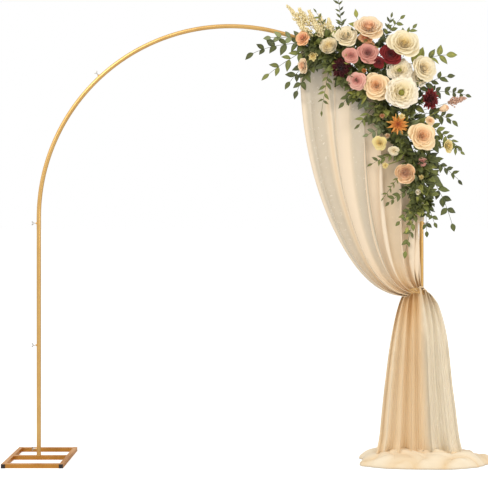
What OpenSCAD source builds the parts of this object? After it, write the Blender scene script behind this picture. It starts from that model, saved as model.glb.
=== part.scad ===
// Free-standing wedding arch of gold tube on two square bases, dressed with
// a gathered sheer drape and a swag of silk flowers on its right shoulder.
// Millimetres, +Z up, seen from -Y. The origin is on the floor under the left post.

/* [Tube frame] */
// Distance between the two post axes
leg_gap = 1978; // [1600:2:2400]
// Height above the floor at which the legs bend into the arch
spring_z = 1250; // [1150:10:1500]
// Outer diameter of the arch tube
tube_d = 22; // [20:1:28]
// Wall of every round tube
tube_wall = 1.2; // [0.8:0.1:1.6]
// Height above the floor of the joint in each leg
knee_z = 569; // [500:1:700]
// Height above the floor of the joint below each bend
haunch_z = 1199; // [1100:1:1210]
// Angle above the springing of the joint on each shoulder
shoulder_angle = 46; // [38:1:52]
// Length of the swaged end that slips into the next tube
swage_len = 50; // [30:1:60]
// Radial play between a swaged end and the tube around it
swage_gap = 0.3; // [0.2:0.05:0.5]

/* [Bases] */
// Width of a base from side to side
base_w = 310; // [260:2:400]
// Depth of a base from front to back
base_d = 320; // [260:2:400]
// Side of the square base tube
bar = 20; // [16:1:25]
// Wall of the square base tube
bar_wall = 1.2; // [0.8:0.1:2]
// How far the middle of a base lies inside its post
base_inset = 8; // [0:1:20]
// Height of the socket post that stands on a base
socket_h = 70; // [50:1:90]
// Thickness of the face of a plastic end cap
cap_t = 3; // [2:0.5:5]
// Depth of an end cap's plug inside the tube
cap_plug = 14; // [8:1:20]
// Clearance round an end cap's plug
cap_gap = 0.3; // [0.2:0.05:0.5]

/* [Wing screws] */
// Shank diameter of a wing screw
screw_d = 5; // [4:0.5:6]
// Reach of a wing screw's shank past the tube wall
screw_out = 20; // [16:1:26]
// Diameter of the threaded boss welded on the tube
boss_d = 10; // [8:0.5:12]
// Height of that boss above the tube wall
boss_h = 4; // [3:0.5:6]
// Distance of a screw from the joint that it locks
screw_up = 21; // [15:1:30]
// Length of one wing
wing_len = 11; // [8:1:14]
// Thickness of the wings
wing_t = 2; // [1.5:0.5:3]
// Distance that the foot screws stand above the base
foot_screw_up = 35; // [25:1:50]

/* [Drape] */
// Thickness of the cloth solids, front to back
cloth_t = 3; // [2:0.5:5]
// Clearance between the cloth and what it hangs on
cloth_gap = 0.3; // [0.2:0.1:0.6]
// Number of pleats across the drape
pleats = 8; // [6:1:10]
// Angle along the arch at which the drape starts
drape_from = 68; // [62:1:72]
// Height of the tie that gathers the drape
tie_z = 867; // [800:1:950]
// Height of the tie itself
tie_h = 34; // [24:1:44]
// Width of the gathered bundle at the tie
bundle_w = 84; // [70:1:100]
// Thickness of the gathered bundle at the tie
bundle_t = 44; // [36:1:56]
// Distance of the bundle's middle to the left of the right post
bundle_left = 36; // [30:1:44]
// Width of the tail at its foot
tail_w = 430; // [360:5:500]
// Distance of the tail's middle at its foot to the left of the right post
tail_left = 17; // [0:1:30]
// Depth of the tail's folds at its foot
tail_t = 66; // [50:1:80]
// Height of the heap of cloth on the floor
pool_h = 60; // [45:1:70]
// How far the heap's middle lies to the right of the tail's
pool_right = 20; // [0:1:60]
// Width of the heap of cloth
pool_w = 640; // [560:5:700]
// Depth of the heap of cloth
pool_d = 240; // [210:5:280]

/* [Flower swag] */
// Angle along the arch at which the swag's core starts
core_from = 67; // [60:1:70]
// Angle along the arch at which the swag's core ends
core_to = 3; // [2:1:10]
// Diameter of the foam core that carries the stems
core_d = 32; // [26:1:40]
// Thickness of a petal
petal_t = 2; // [1.5:0.5:3]
// Diameter of a bloom's stem
stem_d = 6; // [4:0.5:8]
// Clearance between a stem and the core
stem_gap = 0.3; // [0.2:0.1:0.5]
// Diameter of the wire that hooks the core over the tube
hook_d = 4; // [3:0.5:6]
// Thickness of a leaf at its midrib
leaf_t = 2.4; // [1.6:0.2:3.6]
// Thickness of a leaf spray's twig
twig_d = 3; // [2:0.5:4]

/* [Hidden] */
$fn = 48;

gold = [0.83, 0.62, 0.32];
gold_dark = [0.68, 0.48, 0.20];
cap_black = [0.16, 0.12, 0.09];
screw_silver = [0.75, 0.73, 0.70];
champagne = [0.90, 0.82, 0.68];
moss = [0.35, 0.38, 0.22];
leaf_green = [0.40, 0.47, 0.24];
ivory = [0.96, 0.90, 0.78];
cream = [0.98, 0.93, 0.82];
blush = [0.95, 0.80, 0.66];
peach = [0.93, 0.72, 0.56];
dusty_pink = [0.80, 0.52, 0.46];
burgundy = [0.42, 0.08, 0.10];
orange = [0.88, 0.55, 0.25];
butter = [0.93, 0.82, 0.50];

arch_r = leg_gap / 2;
tube_r = tube_d / 2;
bore_r = tube_r - tube_wall;
swage_r = bore_r - swage_gap;
swage_bore_r = swage_r - tube_wall;
neck = 3;
swage_angle = swage_len / arch_r * 180 / PI;
neck_angle = neck / arch_r * 180 / PI;
screw_angle = screw_up / arch_r * 180 / PI;
core_r = core_d / 2;
core_fwd = tube_r + cloth_gap + cloth_t + cloth_gap + core_r;
bundle_x = leg_gap - bundle_left;
bundle_fwd = tube_r + cloth_gap + bundle_t / 2;

// A point by its angle along the arch, its distance outside the tube's axis and
// its distance in front of it. Below the springing the angle runs down the leg.
function arch_point(along, out, fwd) =
  along >= 0
    ? [leg_gap / 2 + (arch_r + out) * cos(along), -fwd, spring_z + (arch_r + out) * sin(along)]
    : [leg_gap + out, -fwd, spring_z + along * PI / 180 * arch_r];

function mix(a, b, t) = a + (b - a) * t;
function smooth(t) = t * t * (3 - 2 * t);
function bezier(a, b, c, d, t) =
  pow(1 - t, 3) * a + 3 * t * pow(1 - t, 2) * b + 3 * t * t * (1 - t) * c + pow(t, 3) * d;

// Children drawn for the left side are turned into the right side
module right_side() translate([leg_gap, 0, 0]) mirror([1, 0, 0]) children();

// Children stand at the arch's centre, turned so that +X points out at the angle
module on_arch(along) {
  if (along >= 0)
    translate([leg_gap / 2, 0, spring_z]) rotate([0, -along, 0]) translate([arch_r, 0, 0]) children();
  else
    translate([leg_gap, 0, spring_z + along * PI / 180 * arch_r]) children();
}

module ring_2d(r_out, r_in) difference() { circle(r_out); circle(r_in); }

// Bases

module side_bars() color(gold_dark)
  for (side = [-1, 1])
    translate([base_inset + side * (base_w - bar) / 2, 0, bar / 2]) rotate([90, 0, 0])
      linear_extrude(base_d - 2 * cap_t, center = true)
        difference() { square(bar, center = true); square(bar - 2 * bar_wall, center = true); }

module cross_bars() color(gold_dark)
  for (place = [-1, 0, 1])
    translate([base_inset, place * (base_d - 2 * cap_t - bar) / 2, bar / 2]) rotate([0, 90, 0])
      linear_extrude(base_w - 2 * bar, center = true)
        difference() { square(bar, center = true); square(bar - 2 * bar_wall, center = true); }

module end_caps() color(cap_black)
  for (side = [-1, 1], end = [-1, 1])
    translate([base_inset + side * (base_w - bar) / 2, end * (base_d / 2 - cap_t), bar / 2])
      rotate([90 * end, 0, 0]) {
        translate([0, 0, -cap_t]) linear_extrude(cap_t) square(bar, center = true);
        linear_extrude(cap_plug) square(bar - 2 * bar_wall - 2 * cap_gap, center = true);
      }

module socket() color(gold)
  difference() {
    translate([0, 0, bar]) cylinder(r = swage_r, h = socket_h);
    translate([0, 0, bar - 1]) cylinder(r = swage_bore_r, h = socket_h + 2);
  }

// Legs

module screw_boss_on_leg(z) {
  translate([0, 0, z]) rotate([0, -90, 0]) cylinder(d = boss_d, h = tube_r + boss_h);
}

module screw_hole_on_leg(z) {
  translate([0, 0, z]) rotate([0, -90, 0]) cylinder(d = screw_d + 2 * swage_gap, h = tube_r + boss_h + 1);
}

module leg_tube(from_z, to_z, screw_z) color(gold)
  difference() {
    union() {
      translate([0, 0, from_z]) cylinder(r = tube_r, h = to_z - from_z);
      translate([0, 0, to_z - neck]) cylinder(r = swage_r, h = swage_len + neck);
      screw_boss_on_leg(screw_z);
    }
    translate([0, 0, from_z - 1]) cylinder(r = bore_r, h = to_z - from_z - neck + 1);
    translate([0, 0, from_z]) cylinder(r = swage_bore_r, h = to_z - from_z + swage_len + 1);
    screw_hole_on_leg(screw_z);
  }

module lower_leg() leg_tube(bar, knee_z, bar + foot_screw_up);
module upper_leg() leg_tube(knee_z, haunch_z, knee_z + screw_up);

// Bends: angles are counted from the springing of the left side

module bend(r_out, r_in, from_angle, to_angle)
  translate([leg_gap / 2, 0, spring_z]) rotate([90, 0, 0])
    rotate([0, 0, 180 - to_angle]) rotate_extrude(angle = to_angle - from_angle, $fn = 180)
      translate([arch_r, 0]) if (r_in > 0) ring_2d(r_out, r_in); else circle(r_out);

module haunch() color(gold) {
  screw_z = haunch_z + screw_up;
  difference() {
    union() {
      translate([0, 0, haunch_z]) cylinder(r = tube_r, h = spring_z - haunch_z);
      screw_boss_on_leg(screw_z);
    }
    translate([0, 0, haunch_z - 1]) cylinder(r = bore_r, h = spring_z - haunch_z + 2);
    screw_hole_on_leg(screw_z);
  }
  difference() {
    union() {
      bend(tube_r, 0, 0, shoulder_angle);
      bend(swage_r, 0, shoulder_angle - neck_angle, shoulder_angle + swage_angle);
    }
    bend(bore_r, 0, -1, shoulder_angle - neck_angle);
    bend(swage_bore_r, 0, shoulder_angle - 2 * neck_angle, shoulder_angle + swage_angle + 1);
  }
}

// Children point out of the arch at an angle above the left springing
module on_left_shoulder(angle)
  translate([leg_gap / 2, 0, spring_z]) rotate([0, angle, 0]) translate([-arch_r, 0, 0]) children();

module top_arc(has_swage) color(gold) {
  screw_place = shoulder_angle + screw_angle;
  difference() {
    union() {
      bend(tube_r, 0, shoulder_angle, 90);
      if (has_swage) bend(swage_r, 0, 90 - neck_angle, 90 + swage_angle);
      on_left_shoulder(screw_place) screw_boss_on_leg(0);
    }
    if (has_swage) {
      bend(bore_r, 0, shoulder_angle - 1, 90 - neck_angle);
      bend(swage_bore_r, 0, 90 - 2 * neck_angle, 90 + swage_angle + 1);
    } else {
      bend(bore_r, 0, shoulder_angle - 1, 91);
    }
    on_left_shoulder(screw_place) screw_hole_on_leg(0);
  }
}

// Wing screws

module wing_screw() color(screw_silver) {
  from_r = swage_r + swage_gap;
  head_r = tube_r + screw_out;
  rotate([0, -90, 0]) {
    translate([0, 0, from_r]) cylinder(d = screw_d, h = head_r - from_r);
    for (side = [-1, 1])
      translate([0, 0, head_r - screw_d]) rotate([0, side * 42, 0]) translate([0, wing_t / 2, 0]) rotate([90, 0, 0])
        linear_extrude(wing_t) hull() {
          translate([0, wing_len]) circle(d = screw_d + 1);
          circle(d = screw_d - 1);
        }
  }
}

module screws_on_legs(z) {
  translate([0, 0, z]) wing_screw();
  right_side() translate([0, 0, z]) wing_screw();
}

module foot_wing_screws() screws_on_legs(bar + foot_screw_up);
module knee_wing_screws() screws_on_legs(knee_z + screw_up);
module springing_wing_screws() screws_on_legs(haunch_z + screw_up);
module shoulder_wing_screws() {
  on_left_shoulder(shoulder_angle + screw_angle) wing_screw();
  right_side() on_left_shoulder(shoulder_angle + screw_angle) wing_screw();
}

// Drape: every cloth solid is a grid of points, u across and v down, given front and back faces

function grid_faces(nu, nv) =
  let (row = nu + 1, back = row * (nv + 1))
  concat(
    [for (j = [0:nv - 1], i = [0:nu - 1]) each [
      [j * row + i, j * row + i + 1, (j + 1) * row + i + 1],
      [j * row + i, (j + 1) * row + i + 1, (j + 1) * row + i],
      [back + j * row + i + 1, back + j * row + i, back + (j + 1) * row + i + 1],
      [back + (j + 1) * row + i + 1, back + j * row + i, back + (j + 1) * row + i]
    ]],
    [for (i = [0:nu - 1]) each [
      [i + 1, i, back + i], [i + 1, back + i, back + i + 1],
      [nv * row + i, nv * row + i + 1, back + nv * row + i],
      [back + nv * row + i, nv * row + i + 1, back + nv * row + i + 1]
    ]],
    [for (j = [0:nv - 1]) each [
      [j * row, (j + 1) * row, back + j * row],
      [back + j * row, (j + 1) * row, back + (j + 1) * row],
      [(j + 1) * row + nu, j * row + nu, back + j * row + nu],
      [(j + 1) * row + nu, back + j * row + nu, back + (j + 1) * row + nu]
    ]]
  );

module cloth_solid(front, nu, nv)
  polyhedron(concat(front, [for (p = front) p + [0, cloth_t, 0]]), grid_faces(nu, nv), convexity = 10);

fold_steps = 2;
flat_drop = 60;
fold_drop = 340;
cloth_back = tube_r + cloth_gap + cloth_t;
cloth_nu = pleats * fold_steps;
drape_rows = 14;
tail_rows = 10;

// Each pleat hangs on its own line from the arch to the tie; the left ones swing out most
function drape_line(u, v) =
  let (
    top = arch_point(mix(drape_from, -1, pow(u, 0.9)), 0, 0),
    foot = [bundle_x + bundle_w * (u - 0.5), 0, tie_z + tie_h / 2 + cloth_gap],
    drop = top[2] - foot[2],
    reach = 320 * pow(1 - u, 1.3)
  )
  bezier(top, top + [-34 * (1 - u), 0, -0.5 * drop], foot + [-reach, 0, 90 * u + 12], foot, v);

// The cloth lies flat behind the core, and its folds deepen from there down to the tie
function drape_fwd(u, v) =
  let (
    drop = v * (drape_line(u, 0)[2] - tie_z),
    fold = (bundle_t - cloth_t) / 2 * smooth(min(1, max(0, drop - flat_drop) / fold_drop))
  )
  cloth_back + fold * (1 - cos(360 * pleats * u));

module drape_upper() color(champagne) cloth_solid(
  [for (j = [0:drape_rows], i = [0:cloth_nu])
    let (u = i / cloth_nu, v = j / drape_rows, p = drape_line(u, v)) [p[0], -drape_fwd(u, v), p[2]]],
  cloth_nu, drape_rows);

module bundle_outline(grow)
  hull() for (side = [-1, 1])
    translate([bundle_x + side * (bundle_w - bundle_t) / 2, -bundle_fwd]) circle(d = bundle_t + 2 * grow);

module drape_tie() color(champagne)
  difference() {
    translate([0, 0, tie_z - tie_h / 2]) linear_extrude(tie_h) hull() {
      bundle_outline(4);
      translate([leg_gap, 0]) circle(r = tube_r + cloth_gap + 4);
    }
    translate([leg_gap, 0, tie_z - tie_h]) cylinder(r = tube_r + cloth_gap, h = 2 * tie_h);
  }

function tail_fwd(u, v) =
  cloth_back + mix(bundle_t - cloth_t, tail_t, v) / 2 * (1 - cos(360 * pleats * u));

module drape_tail() color(champagne) {
  top_z = tie_z - tie_h / 2 - cloth_gap;
  cloth_solid(
    [for (j = [0:tail_rows], i = [0:cloth_nu])
      let (
        u = i / cloth_nu, v = j / tail_rows,
        spread = pow(v, 0.75),
        x = mix(bundle_x, leg_gap - tail_left, spread) + mix(bundle_w, tail_w, spread) * (u - 0.5)
      )
      [x, -tail_fwd(u, v), mix(top_z, pool_h + cloth_gap, v)]],
    cloth_nu, tail_rows);
}

pool_sides = 36;
pool_rings = 4;

// Half width of the heap at an angle, with soft lobes
function pool_edge(a) = 1 + 0.05 * cos(5 * a + 20) + 0.03 * cos(9 * a);

module pool_heap() {
  points = concat(
    [[0, 0, pool_h]],
    [for (k = [1:pool_rings], i = [0:pool_sides - 1])
      let (a = 360 * i / pool_sides, s = k / pool_rings)
      [pool_w / 2 * s * pool_edge(a) * cos(a), pool_d / 2 * s * pool_edge(a) * sin(a),
        k == pool_rings ? 2 : pool_h * (1 - pow(s, 5))]],
    [for (i = [0:pool_sides - 1])
      let (a = 360 * i / pool_sides)
      [pool_w / 2 * pool_edge(a) * cos(a), pool_d / 2 * pool_edge(a) * sin(a), 0]]
  );
  n = pool_sides;
  polyhedron(points, concat(
    [for (i = [0:n - 1]) [0, 1 + (i + 1) % n, 1 + i]],
    [for (k = [0:pool_rings - 1], i = [0:n - 1]) each [
      [1 + k * n + i, 1 + k * n + (i + 1) % n, 1 + (k + 1) * n + i],
      [1 + (k + 1) * n + i, 1 + k * n + (i + 1) % n, 1 + (k + 1) * n + (i + 1) % n]
    ]],
    [[for (i = [0:n - 1]) 1 + pool_rings * n + i]]
  ), convexity = 4);
}

module drape_pool() color(champagne)
  difference() {
    translate([leg_gap - tail_left + pool_right, -cloth_back - tail_t / 2, 0]) pool_heap();
    translate([leg_gap - base_inset, 0, 0])
      cube([base_w + 2 * cloth_gap, base_d + 2 * cloth_gap, 2 * (bar + cloth_gap)], center = true);
    translate([leg_gap, 0, 0]) cylinder(r = tube_r + cloth_gap, h = 3 * pool_h, center = true);
    right_side() translate([0, 0, bar + foot_screw_up]) rotate([0, -90, 0])
      cylinder(r = screw_d + wing_len, h = tube_r + screw_out + wing_len + 2);
  }

// Swag core and the hooks that hang it on the tube

module swag_core() color(moss)
  translate([leg_gap / 2, -core_fwd, spring_z]) rotate([90, 0, 0])
    rotate([0, 0, core_to]) rotate_extrude(angle = core_from - core_to, $fn = 180)
      translate([arch_r, 0]) circle(core_r);

hook_angles = [60, 34, 8];

module swag_hooks() color(moss)
  for (a = hook_angles) on_arch(a) {
    ring_out = tube_r + cloth_gap + hook_d;
    difference() {
      translate([0, 0, -hook_d / 2]) linear_extrude(hook_d) union() {
        difference() {
          circle(ring_out);
          circle(tube_r + cloth_gap);
          translate([-2 * ring_out, -ring_out * 2]) square([2 * ring_out, 4 * ring_out]);
        }
        translate([tube_r + cloth_gap, -core_fwd]) square([hook_d, core_fwd]);
      }
      translate([0, -core_fwd, -arch_r]) cylinder(r = core_r + stem_gap, h = 2 * arch_r);
    }
  }

// Blooms: each place is [along, out, fwd, turn, tip, radius], at the bloom's base;
// turn faces it to the right and tip faces it upwards

// Stem from the core to a bloom's base, square to the core
module stem(place) {
  along = place[0];
  run = [place[1], -(place[2] - core_fwd)];
  start = core_r + stem_gap;
  on_arch(along) translate([0, -core_fwd, 0]) rotate([0, 90, atan2(run[1], run[0])])
    translate([0, 0, start]) cylinder(d = stem_d, h = norm(run) - start, $fn = 6);
}

module bloom_at(place) {
  stem(place);
  translate(arch_point(place[0], place[1], place[2])) rotate([0, 0, place[3]]) rotate([90 - place[4], 0, 0])
    children();
}

// One petal: a base point, a row of three across its middle and a row of three at its rim.
// Each row is [distance from the axis, half width in degrees, height], the rim's corners drop
module petal(mid, rim, drop) {
  outer = [
    [mid[0] * 0.2, 0, 0],
    [mid[0], -mid[1], mid[2]], [mid[0] + petal_t, 0, mid[2] - petal_t], [mid[0], mid[1], mid[2]],
    [rim[0], -rim[1], rim[2] - drop], [rim[0] + petal_t, 0, rim[2]], [rim[0], rim[1], rim[2] - drop]
  ];
  inner = [for (p = outer) [p[0] - petal_t, p[1], p[2] + petal_t * 0.8]];
  polyhedron([for (p = concat(outer, inner)) [p[0] * cos(p[1]), p[0] * sin(p[1]), p[2]]], [
    [0, 1, 2], [0, 2, 3], [1, 4, 5], [1, 5, 2], [2, 5, 6], [2, 6, 3],
    [7, 9, 8], [7, 10, 9], [8, 12, 11], [8, 9, 12], [9, 13, 12], [9, 10, 13],
    [0, 8, 1], [0, 7, 8], [1, 11, 4], [1, 8, 11], [4, 12, 5], [4, 11, 12],
    [5, 13, 6], [5, 12, 13], [6, 10, 3], [6, 13, 10], [3, 7, 0], [3, 10, 7]
  ]);
}

// A ring of petals round the axis
module petals(count, turn, mid, rim, drop)
  for (k = [1:count]) rotate([0, 0, turn + 360 / count * k]) petal(mid, rim, drop);

// The bloom's closed heart, standing on the stem
module heart(r, h)
  hull() {
    translate([0, 0, -petal_t]) cylinder(r = r * 0.8, h = 3 * petal_t, $fn = 6);
    translate([0, 0, h * 0.6]) cylinder(r = r, h = 1, $fn = 6);
    translate([0, 0, h]) cylinder(r = r * 0.5, h = 0.5, $fn = 6);
  }

module rose(r) {
  petals(5, 0, [r * 0.72, 34, r * 0.26], [r, 26, r * 0.62], r * 0.12);
  petals(4, 20, [r * 0.5, 40, r * 0.40], [r * 0.62, 30, r * 0.76], r * 0.1);
  heart(r * 0.3, r * 0.8);
}

module peony(r) {
  petals(5, 0, [r * 0.72, 34, r * 0.2], [r, 28, r * 0.5], r * 0.1);
  petals(5, 31, [r * 0.6, 32, r * 0.30], [r * 0.8, 27, r * 0.64], r * 0.1);
  petals(4, 20, [r * 0.4, 40, r * 0.44], [r * 0.5, 32, r * 0.8], r * 0.1);
  heart(r * 0.26, r * 0.7);
}

module dahlia(r) {
  petals(8, 0, [r * 0.6, 20, r * 0.16], [r, 4, r * 0.4], r * 0.02);
  petals(6, 20, [r * 0.44, 26, r * 0.3], [r * 0.66, 6, r * 0.62], r * 0.02);
  heart(r * 0.24, r * 0.55);
}

module small_bloom(r) {
  petals(6, 0, [r * 0.6, 27, r * 0.2], [r, 12, r * 0.5], r * 0.06);
  heart(r * 0.34, r * 0.6);
}

module bud(r) {
  heart(r * 0.7, r * 1.6);
  petals(3, 0, [r * 0.75, 30, r * 0.5], [r, 20, r * 1.2], r * 0.2);
}

module ivory_roses() color(ivory)
  for (place = [[59, 15, 78, -10, 20, 50], [57, 96, 66, -20, 40, 48], [43.6, 262, 80, 10, 35, 68]])
    bloom_at(place) rose(place[5]);

module cream_peonies() color(cream)
  for (place = [[36, 82, 100, 5, 5, 74], [41, 165, 62, 0, 40, 42]])
    bloom_at(place) peony(place[5]);

module blush_roses() color(blush)
  for (place = [[54, 215, 70, -10, 60, 66], [41.5, 5, 76, -15, 0, 58], [67, -8, 62, -30, 10, 36]])
    bloom_at(place) rose(place[5]);

module peach_roses() color(peach)
  for (place = [[23, 68, 90, 15, 0, 60], [13.5, -60, 84, -10, -15, 54], [37.5, 240, 70, 50, 15, 56]])
    bloom_at(place) rose(place[5]);

module dusty_pink_roses() color(dusty_pink)
  for (place = [[53, 42, 110, -10, 10, 32], [49.5, 92, 108, 0, 15, 46], [47.5, -40, 92, -20, -10, 38]])
    bloom_at(place) rose(place[5]);

module burgundy_roses() color(burgundy)
  for (place = [[45, 172, 84, 5, 15, 44], [47, 120, 60, 0, 0, 24]])
    bloom_at(place) rose(place[5]);

module burgundy_dahlias() color(burgundy)
  for (place = [[54, -42, 66, -15, 0, 42], [30.5, 185, 66, 20, 0, 48]])
    bloom_at(place) dahlia(place[5]);

module orange_dahlia() color(orange)
  for (place = [[30, -14, 92, 0, -5, 42]])
    bloom_at(place) dahlia(place[5]);

module yellow_blooms() color(butter)
  for (place = [[26.5, -130, 66, -25, -10, 32], [18.5, 175, 60, 40, -10, 28], [63, -55, 66, -20, 0, 26]])
    bloom_at(place) small_bloom(place[5]);

module flower_buds() color(peach)
  for (place = [[27, 150, 76, 20, 10, 20], [34, -64, 84, -10, 0, 17], [24, -82, 80, -10, -20, 22],
      [19.5, -132, 76, -20, -10, 16], [17, 26, 74, 0, -10, 20], [9, -18, 70, 0, -30, 20], [4, 6, 64, 0, -40, 16]])
    bloom_at(place) bud(place[5]);

module plume(length, r)
  rotate_extrude() polygon(concat([[0, 0]],
    [for (k = [0:5]) let (z = length * k / 6, w = r * (1 - k / 7))
      each [[w * 0.45, z + length * 0.02], [w, z + length * 0.08]]], [[r * 0.08, length], [0, length]]));

module astilbe_plumes() color(ivory) {
  bloom_at([66, 60, 50, -60, 30, 0]) plume(120, 26);
  bloom_at([27.5, 290, 52, 60, 20, 0]) plume(90, 22);
}

// Leaf sprays

// A leaf along +X with a raised midrib and a tip that droops
module leaf(length, width) {
  rib = leaf_t / 2;
  droop = length * 0.08;
  polyhedron([
    [0, 0, 0], [length, 0, -droop],
    [length * 0.35, width / 2, -rib / 2], [length * 0.72, width * 0.36, -droop / 2],
    [length * 0.35, -width / 2, -rib / 2], [length * 0.72, -width * 0.36, -droop / 2],
    [length * 0.35, 0, rib], [length * 0.72, 0, rib - droop / 2],
    [length * 0.35, 0, -rib], [length * 0.72, 0, -rib - droop / 2]
  ], [
    [0, 2, 6], [0, 6, 4], [2, 3, 7], [2, 7, 6], [6, 7, 5], [6, 5, 4], [3, 1, 7], [7, 1, 5],
    [0, 8, 2], [0, 4, 8], [2, 9, 3], [2, 8, 9], [8, 5, 9], [8, 4, 5], [3, 9, 1], [9, 5, 1]
  ]);
}

module twig(a, b, d)
  hull() {
    translate(a) cube(d, center = true);
    translate(b) cube(d * 0.8, center = true);
  }

// A spray from a point of the core towards a tip, sagging in between:
// [along, direction round the core, reach right, reach up, reach forward, sag, pairs, leaf length, leaf width]
module spray(s) {
  dir = s[1];
  seat = core_r + stem_gap;
  root_out = (seat + 2 * twig_d) * cos(dir);
  root_fwd = core_fwd + (seat + 2 * twig_d) * sin(dir);
  on_arch(s[0]) translate([0, -core_fwd, 0]) rotate([0, 90, -dir]) translate([0, 0, seat])
    cylinder(d = twig_d, h = 2 * twig_d, $fn = 6);
  root = arch_point(s[0], root_out, root_fwd);
  tip = root + [s[2], -s[4], s[3]];
  lift = arch_point(s[0], root_out + 40 * cos(dir), root_fwd + 40 * sin(dir)) - root;
  pairs = s[6];
  steps = pairs + 1;
  path = [for (k = [0:steps]) let (t = k / steps)
    bezier(root, root + lift, mix(root, tip, 0.66) + [0, 0, s[5]], tip, t)];
  for (k = [0:steps - 1]) twig(path[k], path[k + 1], twig_d);
  for (k = [1:steps]) {
    way = path[k] - path[k - 1];
    heading = atan2(way[2], way[0]);
    shrink = 1 - 0.35 * k / steps;
    if (k < steps) for (side = [-1, 1])
      translate(path[k]) rotate([0, -heading - side * 52, 0]) rotate([90 + side * 14, 0, 0])
        leaf(s[7] * shrink, s[8] * shrink);
    else
      translate(path[k]) rotate([0, -heading, 0]) rotate([90, 0, 0]) leaf(s[7] * shrink, s[8] * shrink);
  }
}

module left_leaf_sprays() color(leaf_green)
  for (s = [[64.5, 170, -300, -40, 15, 30, 6, 52, 20], [62.5, 160, -170, -130, 12, 20, 4, 56, 22]])
    spray(s);

module top_leaf_sprays() color(leaf_green)
  for (s = [[62, 0, -40, 190, 0, 20, 5, 44, 20], [50, 0, -10, 300, 20, 0, 6, 44, 18]])
    spray(s);

module right_leaf_sprays() color(leaf_green)
  for (s = [[33.4, 0, 330, 150, -10, 30, 6, 46, 20], [25, -20, 260, -10, -20, 30, 5, 50, 22]])
    spray(s);

module hanging_vine() color(leaf_green)
  for (s = [[15, 10, 170, -230, 10, 60, 6, 42, 24]])
    spray(s);

module trailing_leaves() color(leaf_green)
  for (s = [[7, 115, -70, -150, 40, 30, 5, 46, 24], [5.5, 0, 30, -170, 10, 30, 4, 44, 24]])
    spray(s);

module inner_leaf_sprays() color(leaf_green)
  for (s = [[58, 150, -40, -260, 40, 30, 5, 46, 18], [18.5, 120, -120, -170, 40, 0, 4, 46, 18]])
    spray(s);

side_bars();  // left_base_side_bars
cross_bars();  // left_base_cross_bars
socket();  // left_base_socket
end_caps();  // left_base_end_caps
right_side() side_bars();  // right_base_side_bars
right_side() cross_bars();  // right_base_cross_bars
right_side() socket();  // right_base_socket
right_side() end_caps();  // right_base_end_caps
lower_leg();  // left_lower_leg
upper_leg();  // left_upper_leg
haunch();  // left_haunch
top_arc(true);  // left_top_arc
right_side() lower_leg();  // right_lower_leg
right_side() upper_leg();  // right_upper_leg
right_side() haunch();  // right_haunch
right_side() top_arc(false);  // right_top_arc
foot_wing_screws();
knee_wing_screws();
springing_wing_screws();
shoulder_wing_screws();
drape_upper();
drape_tie();
drape_tail();
drape_pool();
swag_core();
swag_hooks();
ivory_roses();
cream_peonies();
blush_roses();
peach_roses();
dusty_pink_roses();
burgundy_roses();
burgundy_dahlias();
orange_dahlia();
yellow_blooms();
flower_buds();
astilbe_plumes();
left_leaf_sprays();
top_leaf_sprays();
right_leaf_sprays();
hanging_vine();
trailing_leaves();
inner_leaf_sprays();
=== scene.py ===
"""Looks of a free-standing wedding arch: gold tube, a gathered sheer drape, silk flowers.

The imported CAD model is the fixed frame. Its metal nodes keep their shapes and get finishes;
cloth, petals, leaves and moss are worked out here and stand for the plain CAD solids.
Metres, +Z up, seen from -Y. The origin is on the floor under the left post.
"""

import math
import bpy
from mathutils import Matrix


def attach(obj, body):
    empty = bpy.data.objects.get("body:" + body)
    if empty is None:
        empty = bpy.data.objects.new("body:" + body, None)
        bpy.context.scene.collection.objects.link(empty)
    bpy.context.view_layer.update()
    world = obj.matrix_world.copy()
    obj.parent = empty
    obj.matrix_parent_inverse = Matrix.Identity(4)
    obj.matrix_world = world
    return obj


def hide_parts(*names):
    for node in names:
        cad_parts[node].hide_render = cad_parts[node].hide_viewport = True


bl_info = {
    "name": "Wedding Arch",
    "version": (1, 0, 0),
    "blender": (4, 5, 0),
    "location": "3D View > Sidebar > Wedding Arch",
    "description": "Gold tube arch with a gathered sheer drape and a swag of silk flowers",
    "category": "Object",
}

import bpy
import bmesh
import numpy as np
from bpy.props import FloatProperty, FloatVectorProperty, IntProperty, PointerProperty
from mathutils import Vector

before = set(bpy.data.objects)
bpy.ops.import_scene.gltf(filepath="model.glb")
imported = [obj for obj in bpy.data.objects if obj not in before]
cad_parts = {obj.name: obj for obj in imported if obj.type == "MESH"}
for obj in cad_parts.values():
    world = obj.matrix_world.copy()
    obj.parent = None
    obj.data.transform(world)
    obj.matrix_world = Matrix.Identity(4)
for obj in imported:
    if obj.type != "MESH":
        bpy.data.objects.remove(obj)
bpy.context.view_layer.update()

# Sizes that the cloth and flowers share with the CAD source, in metres
LEG_GAP = 1.978
SPRING_Z = 1.250
ARCH_R = LEG_GAP / 2
TUBE_R = 0.011
CLOTH_GAP = 0.0003
CLOTH_BACK = 0.0143
CORE_R = 0.016
CORE_FWD = 0.0306
SWAG_FROM, SWAG_TO, SWAG_PEAK = 66, 3, 41
DRAPE_FROM = 68
TIE_Z = 0.873
TIE_H = 0.034
BUNDLE_W = 0.084
BUNDLE_T = 0.044
BUNDLE_X = LEG_GAP - 0.036
KNOT_W = BUNDLE_W + 0.012
TAIL_X = LEG_GAP - 0.017
TAIL_W = 0.430
TAIL_T = 0.066
POOL_X = TAIL_X + 0.020
POOL_Y = -CLOTH_BACK - TAIL_T / 2
POOL_W, POOL_D, POOL_H = 0.640, 0.240, 0.060
GOLDEN_ANGLE = math.pi * (3 - math.sqrt(5))


# Settings


def colour(name, description, rgb):
    """A colour as a painter would pick it, in display values."""
    return FloatVectorProperty(
        name=name, description=description, subtype="COLOR_GAMMA", size=3, min=0, max=1, default=rgb
    )


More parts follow.
